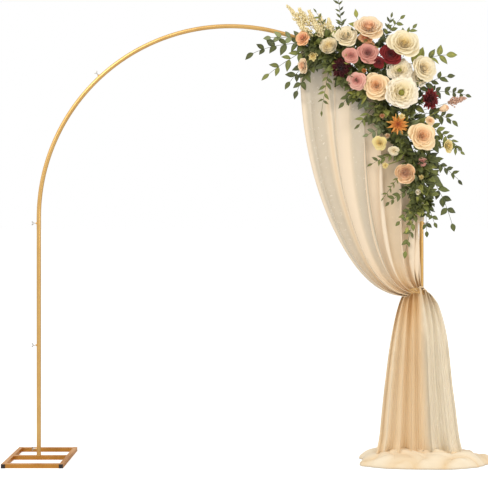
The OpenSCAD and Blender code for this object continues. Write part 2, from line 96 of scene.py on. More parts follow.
def length(name, description, metres):
    return FloatProperty(name=name, description=description, default=metres, min=0, unit="LENGTH")


class ArchStageSettings(bpy.types.PropertyGroup):
    floor_size: length("Floor", "Side of the square floor", 60.0)
    eye_distance: length("Eye distance", "Distance of the camera in front of the arch", 4.78)
    eye_right: length("Eye across", "Distance of the camera to the right of the left post", 1.2934)
    eye_height: length("Eye height", "Height of the camera above the floor", 1.3765)
    lens: FloatProperty(name="Lens", description="Focal length, mm", default=68.2, min=10)
    key_power: FloatProperty(name="Key lamp", description="Power of the key lamp", default=120, unit="POWER")
    fill_power: FloatProperty(name="Fill lamp", description="Power of the fill lamp", default=50, unit="POWER")
    sky: FloatProperty(name="Sky", description="Strength of the even light from all round", default=0.62)


class ArchMetalSettings(bpy.types.PropertyGroup):
    tube: colour("Tube gold", "Lacquered gold of the arch tube", (0.86, 0.69, 0.42))
    base: colour("Base gold", "Deeper gold of the base bars", (0.80, 0.56, 0.25))
    cap: colour("End caps", "Moulded plastic of the end caps", (0.13, 0.09, 0.07))
    screw: colour("Wing screws", "Zinc of the wing screws", (0.72, 0.70, 0.67))


class ArchClothSettings(bpy.types.PropertyGroup):
    light: colour("Light folds", "Cream voile where it lies double", (0.93, 0.86, 0.76))
    # The gathered colour is also painted shade in the hollows of the upper drape's pleats and creases
    gather_and_fold_shade: colour("Gathered cloth", "The same voile where folds gather", (0.87, 0.73, 0.52))
    sheer: colour("Sheer cloth", "The voile where it lies single", (0.80, 0.74, 0.62))
    pale: colour("Pale cloth", "The tail's right side, where light falls through", (1.0, 0.96, 0.87))
    low: colour("Low cloth", "The voile of the tail and of the heap", (0.97, 0.90, 0.78))
    # The deep colour is also painted shade in the tail's fold hollows, between the tie's flutes and in the
    # heap's hollows
    deep: colour("Deep folds", "The folds down the middle of the tail and in the tie", (0.87, 0.71, 0.47))
    thickness: length("Thickness", "Thickness of the voile", 0.0006)
    pleats: IntProperty(name="Pleats", description="Pleats across the drape", default=8, min=4)


class ArchBloomSettings(bpy.types.PropertyGroup):
    petal: length("Petal", "Thickness of a silk petal", 0.0006)
    ivory: colour("Ivory", "Ivory roses", (0.97, 0.91, 0.76))
    cream: colour("Cream", "Cream peonies", (0.98, 0.95, 0.86))
    blush: colour("Blush", "Blush roses", (0.98, 0.88, 0.72))
    peach: colour("Peach", "Peach roses", (0.99, 0.87, 0.68))
    dusty: colour("Dusty pink", "Dusty pink roses", (0.88, 0.62, 0.55))
    burgundy: colour("Burgundy", "Burgundy roses and dahlias", (0.48, 0.08, 0.09))
    orange: colour("Orange", "Orange dahlia", (0.94, 0.64, 0.30))
    butter: colour("Butter", "Small yellow blooms", (0.96, 0.88, 0.60))


class ArchLeafSettings(bpy.types.PropertyGroup):
    dark: colour("Dark leaf", "Rose and camellia leaves", (0.31, 0.34, 0.18))
    olive: colour("Olive leaf", "Olive and ruscus sprays", (0.40, 0.43, 0.23))
    light: colour("Light leaf", "Young leaves at the edges", (0.52, 0.54, 0.28))
    grey: colour("Grey leaf", "Eucalyptus leaves", (0.44, 0.48, 0.35))
    thickness: length("Leaf", "Thickness of a silk leaf", 0.0006)
    moss: colour("Moss", "Moss round the foam core", (0.33, 0.36, 0.20))


# Shader maths


class Field:
    """A shader socket. Arithmetic on it adds Math nodes and gives a new Field."""

    def __init__(self, finish, socket):
        self.finish = finish
        self.socket = socket

    def math(self, operation, *values):
        return self.finish.node(
            "ShaderNodeMath", {"operation": operation}, dict(enumerate(values))
        )

    def __add__(self, other):
        return self.math("ADD", self, other)

    def __sub__(self, other):
        return self.math("SUBTRACT", self, other)

    def __rsub__(self, other):
        return self.math("SUBTRACT", other, self)

    def __mul__(self, other):
        return self.math("MULTIPLY", self, other)

    def __pow__(self, other):
        return self.math("POWER", self, other)

    def __abs__(self):
        return self.math("ABSOLUTE", self)

    __radd__ = __add__
    __rmul__ = __mul__

    def between(self, low, high):
        """0 below low, 1 above high, smooth in between."""
        return self.finish.node(
            "ShaderNodeMapRange",
            {"interpolation_type": "SMOOTHSTEP"},
            {0: self, 1: low, 2: high, 3: 0.0, 4: 1.0},
        )


class Finish:
    """A material under a plain name, built up from nodes."""

    def __init__(self, name):
        self.material = bpy.data.materials.new(name)
        self.material.use_nodes = True
        self.tree = self.material.node_tree
        self.tree.nodes.clear()
        self.coordinates = self.tree.nodes.new("ShaderNodeTexCoord")

    def node(self, kind, settings=None, inputs=None, output=0):
        """Adds a node: its settings first, then a value or a Field for each named socket."""
        made = self.tree.nodes.new(kind)
        for name, value in (settings or {}).items():
            if name == "stops":
                ramp = made.color_ramp
                while len(ramp.elements) < len(value):
                    ramp.elements.new(1.0)
                for element, (place, rgb) in zip(ramp.elements, value):
                    element.position, element.color = place, (*rgb, 1.0)
            else:
                setattr(made, name, value)
        for key, value in (inputs or {}).items():
            if isinstance(value, Field):
                self.tree.links.new(value.socket, made.inputs[key])
            else:
                made.inputs[key].default_value = value
        return Field(self, made.outputs[output]) if len(made.outputs) else None

    def place(self, kind="Object"):
        return Field(self, self.coordinates.outputs[kind])

    def part(self, vector, axis):
        return self.node("ShaderNodeSeparateXYZ", {}, {0: vector}, "XYZ"[axis])

    def mark(self, name):
        """A number that the mesh carries on each point."""
        return self.node("ShaderNodeAttribute", {"attribute_name": name}, {}, "Fac")

    def noise(self, scale, detail=3.0, roughness=0.5, vector=None):
        return self.node(
            "ShaderNodeTexNoise",
            {},
            {"Vector": vector or self.place(), "Scale": scale, "Detail": detail, "Roughness": roughness},
        )

    def mix(self, share, first, second):
        """first where share is 0, second where it is 1; colours are display values or Fields."""
        return self.node(
            "ShaderNodeMix",
            {"data_type": "RGBA"},
            {0: share, 6: rgba(first), 7: rgba(second)},
            2,
        )

    def bump(self, height, distance, strength=1.0):
        return self.node(
            "ShaderNodeBump", {}, {"Height": height, "Distance": distance, "Strength": strength}
        )

    def close(self, **sockets):
        """Ends the tree in one Principled shader; sockets are given with _ for a space."""
        inputs = {
            name.replace("_", " "): rgba(value) if name.endswith("Color") else value
            for name, value in sockets.items()
        }
        shader = self.node("ShaderNodeBsdfPrincipled", {}, inputs)
        self.node("ShaderNodeOutputMaterial", {}, {"Surface": shader})
        return self.material


def rgba(value):
    """Display colour to the scene's linear colour; a Field passes through."""
    if isinstance(value, Field):
        return value
    rgb = [float(c) for c in value][:3]
    return (*[c / 12.92 if c <= 0.04045 else ((c + 0.055) / 1.055) ** 2.4 for c in rgb], 1.0)


def tint(rgb, *scale):
    """A colour times one number, or times three."""
    scale = scale * 3 if len(scale) == 1 else scale
    return tuple(min(1.0, c * k) for c, k in zip(rgb, scale))


# Mesh building


def mix(a, b, t):
    return a + (b - a) * t


def smooth(t):
    t = np.clip(t, 0, 1)
    return t * t * (3 - 2 * t)


def grid(rows, columns, low=0.0):
    """Two arrays, (rows, 1) down from 0 to 1 and (1, columns) across from low to 1."""
    return np.linspace(0, 1, rows)[:, None], np.linspace(low, 1, columns)[None, :]


def unit(v):
    return v / np.maximum(np.linalg.norm(v, axis=-1, keepdims=True), 1e-9)


class Patchwork:
    """Collects grids of points into one mesh piece.

    A batch of grids is an array (count, rows, columns, 3). Its quads join each point to the
    next one across and down; with closed=True the last column joins the first.
    """

    def __init__(self):
        self.points, self.quads, self.uv, self.finish = [], [], [], []
        self.marks = {"heart": [], "shade": []}
        self.size = 0

    def add(self, grids, finish=0, closed=False, heart=0.0, shade=0.5):
        count, rows, columns, _ = grids.shape
        across = columns if closed else columns - 1
        row, column = np.arange(rows - 1)[:, None], np.arange(across)[None, :]
        after = (column + 1) % columns
        quad = np.stack(
            [row * columns + column, row * columns + after,
             (row + 1) * columns + after, (row + 1) * columns + column], -1
        ).reshape(1, -1, 4)
        start = self.size + np.arange(count)[:, None, None] * rows * columns
        self.quads.append((start + quad).reshape(-1, 4))
        self.points.append(grids.reshape(-1, 3))
        u = np.broadcast_to(np.linspace(0, 1, columns)[None, None, :], (count, rows, columns))
        v = np.broadcast_to(np.linspace(0, 1, rows)[None, :, None], (count, rows, columns))
        self.uv.append(np.stack([u, v], -1).reshape(-1, 2))
        for name, value in (("heart", heart), ("shade", shade)):
            whole = np.asarray(value, float)
            if whole.ndim == 1:
                whole = whole[:, None, None]
            self.marks[name].append(np.broadcast_to(whole, (count, rows, columns)).reshape(-1))
        self.finish.append(np.full(count * quad.shape[1], finish))
        self.size += count * rows * columns

    def make(self, name, materials, nodes, slot, thickness=None, offset=0.0, rounds=0):
        """The finished piece, standing for the CAD nodes and riding on the frame."""
        mesh = bpy.data.meshes.new(name)
        points, quads = np.concatenate(self.points), np.concatenate(self.quads)
        mesh.vertices.add(len(points))
        mesh.vertices.foreach_set("co", points.astype(np.float32).ravel())
        mesh.loops.add(quads.size)
        mesh.loops.foreach_set("vertex_index", quads.ravel().astype(np.int32))
        mesh.polygons.add(len(quads))
        mesh.polygons.foreach_set("loop_start", np.arange(0, quads.size, 4, dtype=np.int32))
        mesh.polygons.foreach_set("use_smooth", np.ones(len(quads), bool))
        mesh.polygons.foreach_set("material_index", np.concatenate(self.finish).astype(np.int32))
        layer = mesh.uv_layers.new(name="UVMap")
        layer.data.foreach_set("uv", np.concatenate(self.uv)[quads.ravel()].astype(np.float32).ravel())
        for mark, values in self.marks.items():
            attribute = mesh.attributes.new(mark, "FLOAT", "POINT")
            attribute.data.foreach_set("value", np.concatenate(values).astype(np.float32))
        mesh.update(calc_edges=True)
        body = bmesh.new()
        body.from_mesh(mesh)
        bmesh.ops.remove_doubles(body, verts=body.verts, dist=1e-6)
        body.to_mesh(mesh)
        body.free()
        for material in materials:
            mesh.materials.append(material)
        piece = bpy.data.objects.new(name, mesh)
        bpy.context.scene.collection.objects.link(piece)
        if thickness:
            wall = piece.modifiers.new("thickness", "SOLIDIFY")
            wall.thickness, wall.offset, wall.use_even_offset = thickness, offset, False
        if rounds:
            round_off = piece.modifiers.new("rounds", "SUBSURF")
            round_off.levels = round_off.render_levels = rounds
        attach(piece, "root")
        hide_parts(*nodes)
        return piece


def tube(path, radii, sides=6):
    """A tube: a ring of points square to the path at each of its points, as one closed grid."""
    path = np.asarray(path, float)
    along = unit(np.gradient(path, axis=0))
    reference = np.eye(3)[np.argmin(np.abs(along).sum(0))]
    side = unit(np.cross(along, reference))
    other = np.cross(along, side)
    turn = np.linspace(0, 2 * math.pi, sides, endpoint=False)[None, :, None]
    radii = np.asarray(radii, float).reshape(-1, 1, 1)
    ring = path[:, None] + radii * (np.cos(turn) * side[:, None] + np.sin(turn) * other[:, None])
    return ring[None]


def bezier(a, b, c, d, t):
    return (1 - t) ** 3 * a + 3 * t * (1 - t) ** 2 * b + 3 * t**2 * (1 - t) * c + t**3 * d


def arch_point(along, out=0.0, fwd=0.0):
    """A point by its angle along the arch, its distance outside the tube's axis and in front.

    Below the springing the angle runs down the right leg, as in the CAD source.
    """
    along, out, fwd = np.broadcast_arrays(*[np.asarray(v, float) for v in (along, out, fwd)])
    turn = np.radians(along)
    bent = along >= 0
    x = np.where(bent, ARCH_R + (ARCH_R + out) * np.cos(turn), LEG_GAP + out)
    z = np.where(bent, SPRING_Z + (ARCH_R + out) * np.sin(turn), SPRING_Z + turn * ARCH_R)
    return np.stack([x, -fwd, z], -1)


def swag_reach(along):
    """How far the leaves reach inside and outside the tube: most at the swag's broad middle.

    Both follow a bell, falling off with the square of the angle from there.
    """
    off = (along - SWAG_PEAK) / 19
    return -0.045 - 0.055 * np.exp(-((off / 1.6) ** 2)), 0.050 + 0.195 * np.exp(-(off**2))


def core_point(along, turn=90, off=0.0):
    """A point round the foam core: turn is 0 outwards from the arch and 90 to the front."""
    turn = np.radians(turn)
    distance = CORE_R + off
    return arch_point(along, distance * np.cos(turn), CORE_FWD + distance * np.sin(turn))


# Metal finishes


def gold_finish(name, rgb, scuff):
    """Lacquered gold: metal with a fine orange-peel surface and a few duller patches."""
    f = Finish(name)
    patch = f.noise(9.0, 4.0).between(0.35, 0.75)
    grain = f.noise(900.0, 2.0)
    return f.close(
        Base_Color=f.mix(patch * scuff, rgb, tint(rgb, 0.86, 0.82, 0.74)),
        Metallic=0.75,
        Roughness=0.30 + patch * 0.12 + grain * 0.05,
        Normal=f.bump(grain, 0.00012, 0.5),
        IOR=1.5,
    )


def cap_finish(rgb):
    """Moulded plastic with a fine spark-eroded grain."""
    f = Finish("cap_plastic")
    grain = f.noise(1400.0, 2.0)
    return f.close(
        Base_Color=f.mix(grain, tint(rgb, 0.8), tint(rgb, 1.25)),
        Roughness=0.45 + grain * 0.2,
        Normal=f.bump(grain, 0.0002),
    )


def screw_finish(rgb):
    """Zinc-plated steel, a little cloudy."""
    f = Finish("screw_zinc")
    cloud = f.noise(300.0, 3.0)
    return f.close(
        Base_Color=f.mix(cloud, tint(rgb, 0.85), tint(rgb, 1.1)),
        Metallic=0.9,
        Roughness=0.28 + cloud * 0.2,
        Normal=f.bump(cloud, 0.0001),
    )


class ARCH_OT_metal(bpy.types.Operator):
    """Gives the tubes, bases, caps and wing screws their finishes"""

    bl_idname = "wedding_arch.metal"
    bl_label = "Metal Finishes"

    def execute(self, context):
        s = context.scene.arch_metal
        tube_gold = gold_finish("tube_gold", s.tube, 0.5)
        base_gold = gold_finish("base_gold", s.base, 0.9)
        cap, screw = cap_finish(s.cap), screw_finish(s.screw)
        finishes = {"end_caps": cap, "wing_screws": screw, "_bars": base_gold}
        for name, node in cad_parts.items():
            metal = name.startswith(("left_base", "right_base")) or name.endswith(
                ("_leg", "_haunch", "_top_arc", "_wing_screws")
            )
            if metal:
                found = [m for part, m in finishes.items() if part in name]
                node.data.materials.clear()
                node.data.materials.append(found[0] if found else tube_gold)
        return {"FINISHED"}


# Drape


def cloth_finish(name, plain, folded, single, sheerness):
    """Voile: a fine plain weave, sheer where it lies single and warmer where it gathers; the warmer colour is
    also painted shade in the hollows of its folds.

    The mark "heart" is the share of gathering together with painted shade in fold and crease hollows, and
    "shade" the share of sheerness, which on the floor heap also carries painted light on fold crests. Small
    woven sprigs show where the cloth is sheer.
    """
    f = Finish(name)
    weave = f.node(
        "ShaderNodeTexWave", {"bands_direction": "X"}, {"Vector": f.place(), "Scale": 420.0}, "Fac"
    ) + f.node(
        "ShaderNodeTexWave", {"bands_direction": "Z"}, {"Vector": f.place(), "Scale": 420.0}, "Fac"
    )
    gather_and_fold_shade, sheer = f.mark("heart"), f.mark("shade")
    sprig = f.noise(42.0, 5.0, 0.75).between(0.58, 0.70)
    # The gathered voile's own deeper tone, and painted shade where the mark is high, in the hollows of pleats
    # and creases
    body = f.mix(gather_and_fold_shade, plain, folded)
    body = f.mix(sheer * 0.85, body, single)
    body = f.mix(f.noise(14.0, 4.0) * 0.25, body, tint(plain, 1.03))
    return f.close(
        Base_Color=f.mix(sprig * sheer * 0.4, body, (0.97, 0.96, 0.92)),
        Roughness=0.72,
        Alpha=1.0 - sheer * sheerness * (1.0 - sprig * 0.7),
        Normal=f.bump(weave, 0.0002, 0.4),
        Sheen_Weight=0.2,
        Sheen_Roughness=0.4,
        Specular_IOR_Level=0.25,
    )


def drape_line(u, v):
    """The line each pleat hangs on, from the arch to the tie; the left ones swing out most.

    A cubic curve: down from its place on the arch, then sideways into the tie.
    """
    u, v = np.broadcast_arrays(u, v)
    top = arch_point(mix(DRAPE_FROM, -1, u**0.9))
    foot = np.stack([BUNDLE_X + KNOT_W * (u - 0.5), 0 * u, 0 * u + TIE_Z + 0.006], -1)
    drop = top[..., 2] - foot[..., 2]
    lean, swing, rise = ARCH_R * 0.034, ARCH_R * 0.325, ARCH_R * 0.09
    first = top + np.stack([-lean * (1 - u), 0 * u, -0.5 * drop], -1)
    last = foot + np.stack([-swing * (1 - u) ** 1.3, 0 * u, rise * u + ARCH_R * 0.012], -1)
    return bezier(top, first, last, foot, v[..., None])


def pleat_wave(u, count):
    """Pleats of uneven width as a wave from 0 to 2, and how far each leans to its side."""
    phase = 2 * math.pi * (count * u + 0.35 * np.sin(5.1 * u + 0.4) + 0.18 * np.sin(17 * u))
    return 1 - np.cos(phase), np.sin(phase)


def creases(u, v, count):
    """Fine creases from 0 to 1 that run down the cloth and drift a little sideways."""
    drift = 0.4 * np.sin(9 * u) + 0.16 * np.sin(7 * v + 20 * u)
    return 1 - np.abs(np.sin(math.pi * (count * u + drift)))


def bump(x, low, high, soft):
    """1 between low and high, 0 outside, with soft edges."""
    return smooth((x - low) / soft + 0.5) * smooth((high - x) / soft + 0.5)


def upper_drape(s):
    """Cloth from a roll over the tube down to the tie.

    Above the drop the rows turn round the tube; below it the pleats deepen by a smooth step.
    Towards the tie the pleats draw together into tight creases. Bands of pleats lie single,
    and sheer, between bands that lie double.
    """
    work = Patchwork()
    rows, columns = 124, 350
    v, u = grid(rows, columns)
    line = drape_line(u, v)
    drop = line[:1, :, 2] - line[..., 2]
    depth = smooth((drop - ARCH_R * 0.06) / (ARCH_R * 0.34))
    wave, lean = pleat_wave(u, s.pleats)
    tight = smooth((v - 0.5) / 0.5)
    fine = creases(u, v, 37)
    knot = smooth((v - 0.86) / 0.14)
    fold = 1 + mix(0.62, 0.85, tight) * (wave - 1) * (1 - 0.55 * smooth((u - 0.72) / 0.16))
    forward = CLOTH_BACK + 0.0205 * depth * fold + 0.0035 * fine * tight + 0.007 * knot
    forward = forward + 0.005 * depth * (bump(u, 0.084, 0.104, 0.02) + bump(u, 0.130, 0.146, 0.02))
    sag = 0.034 * (1 - u) ** 2.5 * smooth((v - 0.45) / 0.45)
    width = mix(0.060, 0.004, tight)
    clear_of_tube = 0.027 * u**6 * np.sin(math.pi * v) ** 0.25
    left_lip = 0.012 * (1 - u) ** 12 * np.sin(math.pi * v) ** 0.5
    inner = 1 - (2 * u - 1) ** 8
    x = line[..., 0] + lean * inner * depth * width * 0.40 - clear_of_tube - left_lip
    hang = np.stack([x, -forward, line[..., 2] - sag], -1)
    rolled = 14
    turn = np.radians(np.linspace(-200, 0, rolled))[:-1, None, None]
    top = line[:1]
    out = unit(top - np.array([ARCH_R, 0, SPRING_Z]))
    swing = np.where(top[..., 2:] > SPRING_Z, out, np.array([1.0, 0, 0]))
    roll = top + CLOTH_BACK * (np.cos(turn) * np.array([0, -1.0, 0]) - np.sin(turn) * swing)
    single = bump(u, 0.012, 0.082, 0.012) + 0.85 * bump(u, 0.104, 0.130, 0.010)
    single = single + 0.95 * bump(u, 0.215, 0.295, 0.018) + 0.25 * bump(u, 0.45, 0.52, 0.030)
    sheer = np.clip(single * (1 - 0.8 * tight), 0, 1)
    edges = bump(u, 0.088, 0.098, 0.008) + bump(u, 0.132, 0.142, 0.008) + bump(u, 0.297, 0.310, 0.008)
    warm = 0.06 + 0.32 * smooth((u - 0.30) / 0.16) + 0.35 * edges
    # Painted shade and light: the share is higher in the pleat hollows (1 - wave) and between the fine creases
    # (1 - fine), lower on the ridges
    gather_and_fold_shade = np.clip(warm + 0.12 * (1 - wave) + (0.35 + 0.40 * (1 - fine)) * tight**2, 0, 1)
    marks = [np.concatenate([np.repeat(m[:1], rolled - 1, 0), m])[None] for m in (gather_and_fold_shade, sheer)]
    work.add(np.concatenate([roll, hang])[None], heart=marks[0], shade=marks[1])
    return work


def tail_drape(s):
    """The tail below the tie: it widens as the square root of the drop, its pleats deepen.

    Pleats of uneven width and depth stand about the middle of the tail's thickness. On the
    right the cloth puffs up over the tie before it falls, and at its foot it flares.
    """
    work = Patchwork()
    rows, columns = 130, 370
    v, u = grid(rows, columns)
    v = v**1.6
    spread = v**0.5
    top_z, foot_z = TIE_Z - 0.006, POOL_H * 0.45
    wave, lean = pleat_wave(u + 0.045 * np.sin(2 * math.pi * u + 0.6), s.pleats)
    uneven = 0.72 + 0.18 * np.sin(13 * u + 0.5) + 0.10 * np.sin(31 * u)
    tight = 1 - smooth(v / 0.40)
    fine = creases(u, v, 33)
    flare = smooth((v - 0.86) / 0.14)
    width = mix(KNOT_W, TAIL_W, spread) * (1 + 0.05 * flare)
    inner = 1 - (2 * u - 1) ** 8
    x = mix(BUNDLE_X, TAIL_X, spread) + width * (u - 0.5) + lean * inner * width * 0.024
    deep = mix(BUNDLE_T - 0.003, TAIL_T, v) / 2
    rim = mix(inner, 1, tight) * (1 - 0.35 * smooth((u - 0.55) / 0.2) * (1 - tight))
    fold = 1 + mix(uneven, 0.8, tight) * (wave - 1) * rim + flare * 0.35 * np.sin(29 * u + 1)
    forward = CLOTH_BACK + deep * fold + 0.0035 * fine * tight + 0.007 * (1 - smooth(v / 0.04))
    forward = forward + 0.0066 * creases(u, v, 57) * (1 - tight)
    over_tie = smooth((u - 0.42) / 0.2) * (1 - smooth((v - 0.03) / 0.06))
    forward = forward + 0.011 * over_tie
    x = x + 0.020 * smooth((u - 0.4) / 0.6) * smooth(v / 0.08) * (1 - smooth((v - 0.16) / 0.45))
    shoulder = smooth((u - 0.36) / 0.3) * (1 - 0.8 * smooth((u - 0.68) / 0.32))
    puff = 0.044 * shoulder * np.exp(-(((v - 0.018) / 0.030) ** 2))
    z = mix(top_z, foot_z, v) + puff
    centre = bump(u, 0.22, 0.54, 0.26) * (1 - 0.35 * v)
    # The deep middle band is the cloth's tone; the (1 - wave) and (1 - fine) terms are painted shade in the
    # hollows of pleats and creases
    gather_and_fold_shade = 0.12 + 0.50 * centre + 0.10 * (1 - wave) + (0.25 + 0.35 * (1 - fine)) * tight**2
    # The right side is sheer, and its paler colour is also painted light, standing for light that falls through
    # the voile
    single = 0.95 * smooth((u - 0.48) / 0.26)
    sheer = single * smooth(v / 0.10)
    work.add(
        np.stack([x, -forward, z], -1)[None],
        heart=np.clip(gather_and_fold_shade, 0, 1)[None], shade=np.clip(sheer, 0, 1)[None],
    )
    return work


def bundle_ring(turn, grow):
    """Outline round the gathered bundle and the post behind it, at an angle.

    The farthest point of two discs in that direction, with its own radius added: a stadium.
    """
    c, s = np.cos(turn), np.sin(turn)
    r = BUNDLE_T / 2 + grow
    half = (BUNDLE_W - BUNDLE_T) / 2
    mid_y = -(TUBE_R + CLOTH_GAP + BUNDLE_T / 2)
    front_x = BUNDLE_X + half * np.tanh(5 * c) + r * c
    front_y = mid_y + r * s
    back = smooth((s - 0.15) / 0.75)
    back_x = LEG_GAP + (TUBE_R + grow) * c
    back_y = (TUBE_R + grow) * s
    return mix(front_x, back_x, back), mix(front_y, back_y, back)


def drape_tie_work():
    """The cloth pinched by its tie: a ring with a waist, fluted down and lightly wrung."""
    work = Patchwork()
    rows, columns = 30, 300
    v, u = grid(rows, columns)
    u = u * (columns - 1) / columns
    turn = 2 * math.pi * u
    waist = (2 * v - 1) ** 2
    flutes = 1 - np.abs(np.sin(turn * 14 + 1.6 * np.sin(turn * 2) + 2.2 * v))
    wrung = 0.0010 * np.sin(4 * math.pi * v + 2.5 * np.sin(turn)) * (1 - waist)
    x, y = bundle_ring(turn + 0 * v, 0.0006 + 0.0026 * waist + 0.0026 * flutes + wrung)
    z = TIE_Z + TIE_H * (0.5 - v) * 0.8 + 0.004 * np.sin(turn * 3) + 0.002 * np.sin(turn * 11)
    # Painted shade: the colour darkens between the flutes, where the ring lies in, and lightens on the flute
    # ridges
    gather_and_fold_shade = 1.0 - 0.35 * flutes + 0 * v
    work.add(
        np.stack([x, y, z], -1)[None], closed=True, heart=np.clip(gather_and_fold_shade, 0, 1)[None], shade=0.0
    )
    return work


def pool_drape():
    """Cloth heaped on the floor: a mound times folds that swirl round the tail's foot.

    Rings of radius rho and angle a. The height is a root of 1 less a power of rho, so that the
    rim is round, times folds, each the absolute value of a sine with a wandering phase.
    """
    work = Patchwork()
    rows, columns = 110, 360
    rho, u = grid(rows, columns)
    u = u * (columns - 1) / columns
    a = 2 * math.pi * u
    rho = 0.012 + 0.988 * rho**0.8

    def blunt(c):
        return np.sign(c) * np.abs(c) ** 0.75

    lobes = 0.05 * np.cos(5 * a + 0.35) + 0.03 * np.cos(9 * a) + 0.012 * np.sin(23 * a)
    x = POOL_W / 2 * rho * (1.03 + lobes) * blunt(np.cos(a))
    y = POOL_D / 2 * rho * (1.14 + 0.3 * lobes) * blunt(np.sin(a))
    px, py = x * 10, y * 10
    wander = 1.1 * np.sin(1.9 * px + 0.7) + 0.9 * np.sin(2.7 * py + 1.1 * px)
    long_fold = np.abs(np.sin(2.6 * py + wander)) ** 0.8
    cross_fold = np.abs(np.sin(2.1 * px - 1.7 * py + 1.3 * np.sin(2.2 * py + 0.5))) ** 0.8
    small_fold = np.abs(np.sin(7.0 * py + 3.1 * px + 2 * wander))
    folds = 0.45 * long_fold + 0.38 * cross_fold + 0.17 * small_fold
    mound = np.clip(1 - rho**5, 0, 1) ** 0.5
    z = 0.0015 + (POOL_H + 0.006) * mound * (0.46 + 0.54 * folds)
    # Painted shade: the gathering share is highest in the low hollows between the folds
    gather_and_fold_shade = np.clip(0.80 - 0.70 * folds, 0, 1)
    # Painted light: the paler sheer colour lies on the crests of the long folds, which also let a little more
    # through
    sheer = 0.35 * long_fold
    points = np.stack([POOL_X + x, POOL_Y + y, z], -1)
    work.add(points[None], closed=True, heart=gather_and_fold_shade[None], shade=sheer[None])
    return work


class ARCH_OT_drape(bpy.types.Operator):
    """Hangs the sheer cloth: the upper sweep, its tie, the tail and the heap on the floor"""

    bl_idname = "wedding_arch.drape"
    bl_label = "Drape"

    def execute(self, context):
        s = context.scene.arch_cloth
        voile = cloth_finish("voile", s.light, s.gather_and_fold_shade, s.sheer, 0.34)
        pale = cloth_finish("voile_pale", s.low, s.deep, s.pale, 0.2)
        # The tie: the gathered voile's deep tone, darker still between the flutes as painted shade of the pinch
        tied = cloth_finish("voile_tied", s.deep, tint(s.deep, 0.80, 0.76, 0.70), s.pale, 0.0)
        closed = cloth_finish("voile_gathered", s.low, s.deep, s.pale, 0.1)
        upper = upper_drape(s).make("upper_drape", [voile], ["drape_upper"], "sheer_cloth", s.thickness)
        tail = tail_drape(s).make("tail_drape", [pale], ["drape_tail"], "sheer_cloth", s.thickness)
        sash = drape_tie_work().make("tie_sash", [tied], ["drape_tie"], "sheer_cloth", s.thickness)
        heap = pool_drape().make("floor_heap", [closed], ["drape_pool"], "sheer_cloth", s.thickness)
        return {"FINISHED"}


# Petals


def petal_finish(name, rgb, heart, veil):
    """Dyed silk: the heart's colour on the inner petals, the same colour at each petal's foot as painted shade
    inside the cup, some petals paler at random, fine lengthwise veins.
    """
    f = Finish(name)
    across, along = f.part(f.place("UV"), 0), f.part(f.place("UV"), 1)
    shade = f.mark("shade")
    core = f.mark("heart").between(0.25, 0.95)
    # Painted shade: the foot of each petal, deep in the cup, is tinted towards the heart colour
    foot = 1.0 - along.between(0.0, 0.75)
    body = f.mix(core * 0.75 + foot * 0.35 * (1.0 - core * 0.75), rgb, heart)
    body = f.mix(shade * 0.3, body, veil)
    vein = f.node(
        "ShaderNodeTexWave",
        {"bands_direction": "X"},
        {"Vector": f.place("UV"), "Scale": 4.0, "Distortion": 2.0, "Detail": 2.0},
        "Fac",
    )
    return f.close(
        Base_Color=body,
        Roughness=0.62 + shade * 0.1,
        Normal=f.bump(vein + f.noise(500.0, 2.0) * 0.5, 0.0004, 0.35),
        Sheen_Weight=0.15,
        Specular_IOR_Level=0.3,
    )


def petals(q, spec, rng, rows=8, columns=7):
    """Petals of a bloom that faces +Z, one grid each, from inner (q 0) to outer (q 1).

    Down a petal (t, 0 at its foot) the angle from the axis goes evenly from lean to open, so
    its sine and cosine added up give the distance from the axis and the height. Across it (s)
    the petal wraps round the axis by s times its half width over that distance. The rim drops
    at its corners, rolls outwards and ruffles.
    """
    n = len(q)

    def of(name):
        first, last, power = spec[name]
        return mix(first, last, q**power)[:, None, None]

    t = np.linspace(0, 1, rows)[None, :, None]
    s = np.linspace(-1, 1, columns)[None, None, :]
    jitter = rng.uniform(-1, 1, (6, n, 1, 1))
    lean, open_ = of("lean"), of("open") + 0.10 * jitter[0]
    size = of("length") * (1 + 0.06 * jitter[1])
    tip = t * (1 - spec["corner"] * np.abs(s) ** spec["blunt"])
    bend = np.where(np.abs(open_ - lean) < 1e-3, 1e-3, open_ - lean)
    turned = lean + bend * tip
    r = of("start") + size * (np.cos(lean) - np.cos(turned)) / bend
    z = of("rise") + size * (np.sin(turned) - np.sin(lean)) / bend
    broad = spec["foot"] + (1 - spec["foot"]) * (4 * tip * (1.25 - tip) / 1.5625) ** 0.6
    half = of("width") * (1 + 0.08 * jitter[2]) * broad
    roll = of("roll") * smooth((tip - 0.62) / 0.38) * (1 + 0.5 * jitter[3])
    wrap = s * half / np.sqrt(r**2 + of("furl") ** 2)
    ruffle = of("ruffle") * tip**2 * np.sin(math.pi * (1.5 + jitter[4]) * s * 2 + 3 * jitter[5])
    r = r + roll + ruffle * 0.6
    z = z - roll * 0.6 + ruffle + of("cup") * s**2 * half
    turn = (np.arange(n) * GOLDEN_ANGLE)[:, None, None] + 0.25 * jitter[1] + wrap
    return np.stack([r * np.cos(turn), r * np.sin(turn), z], -1)


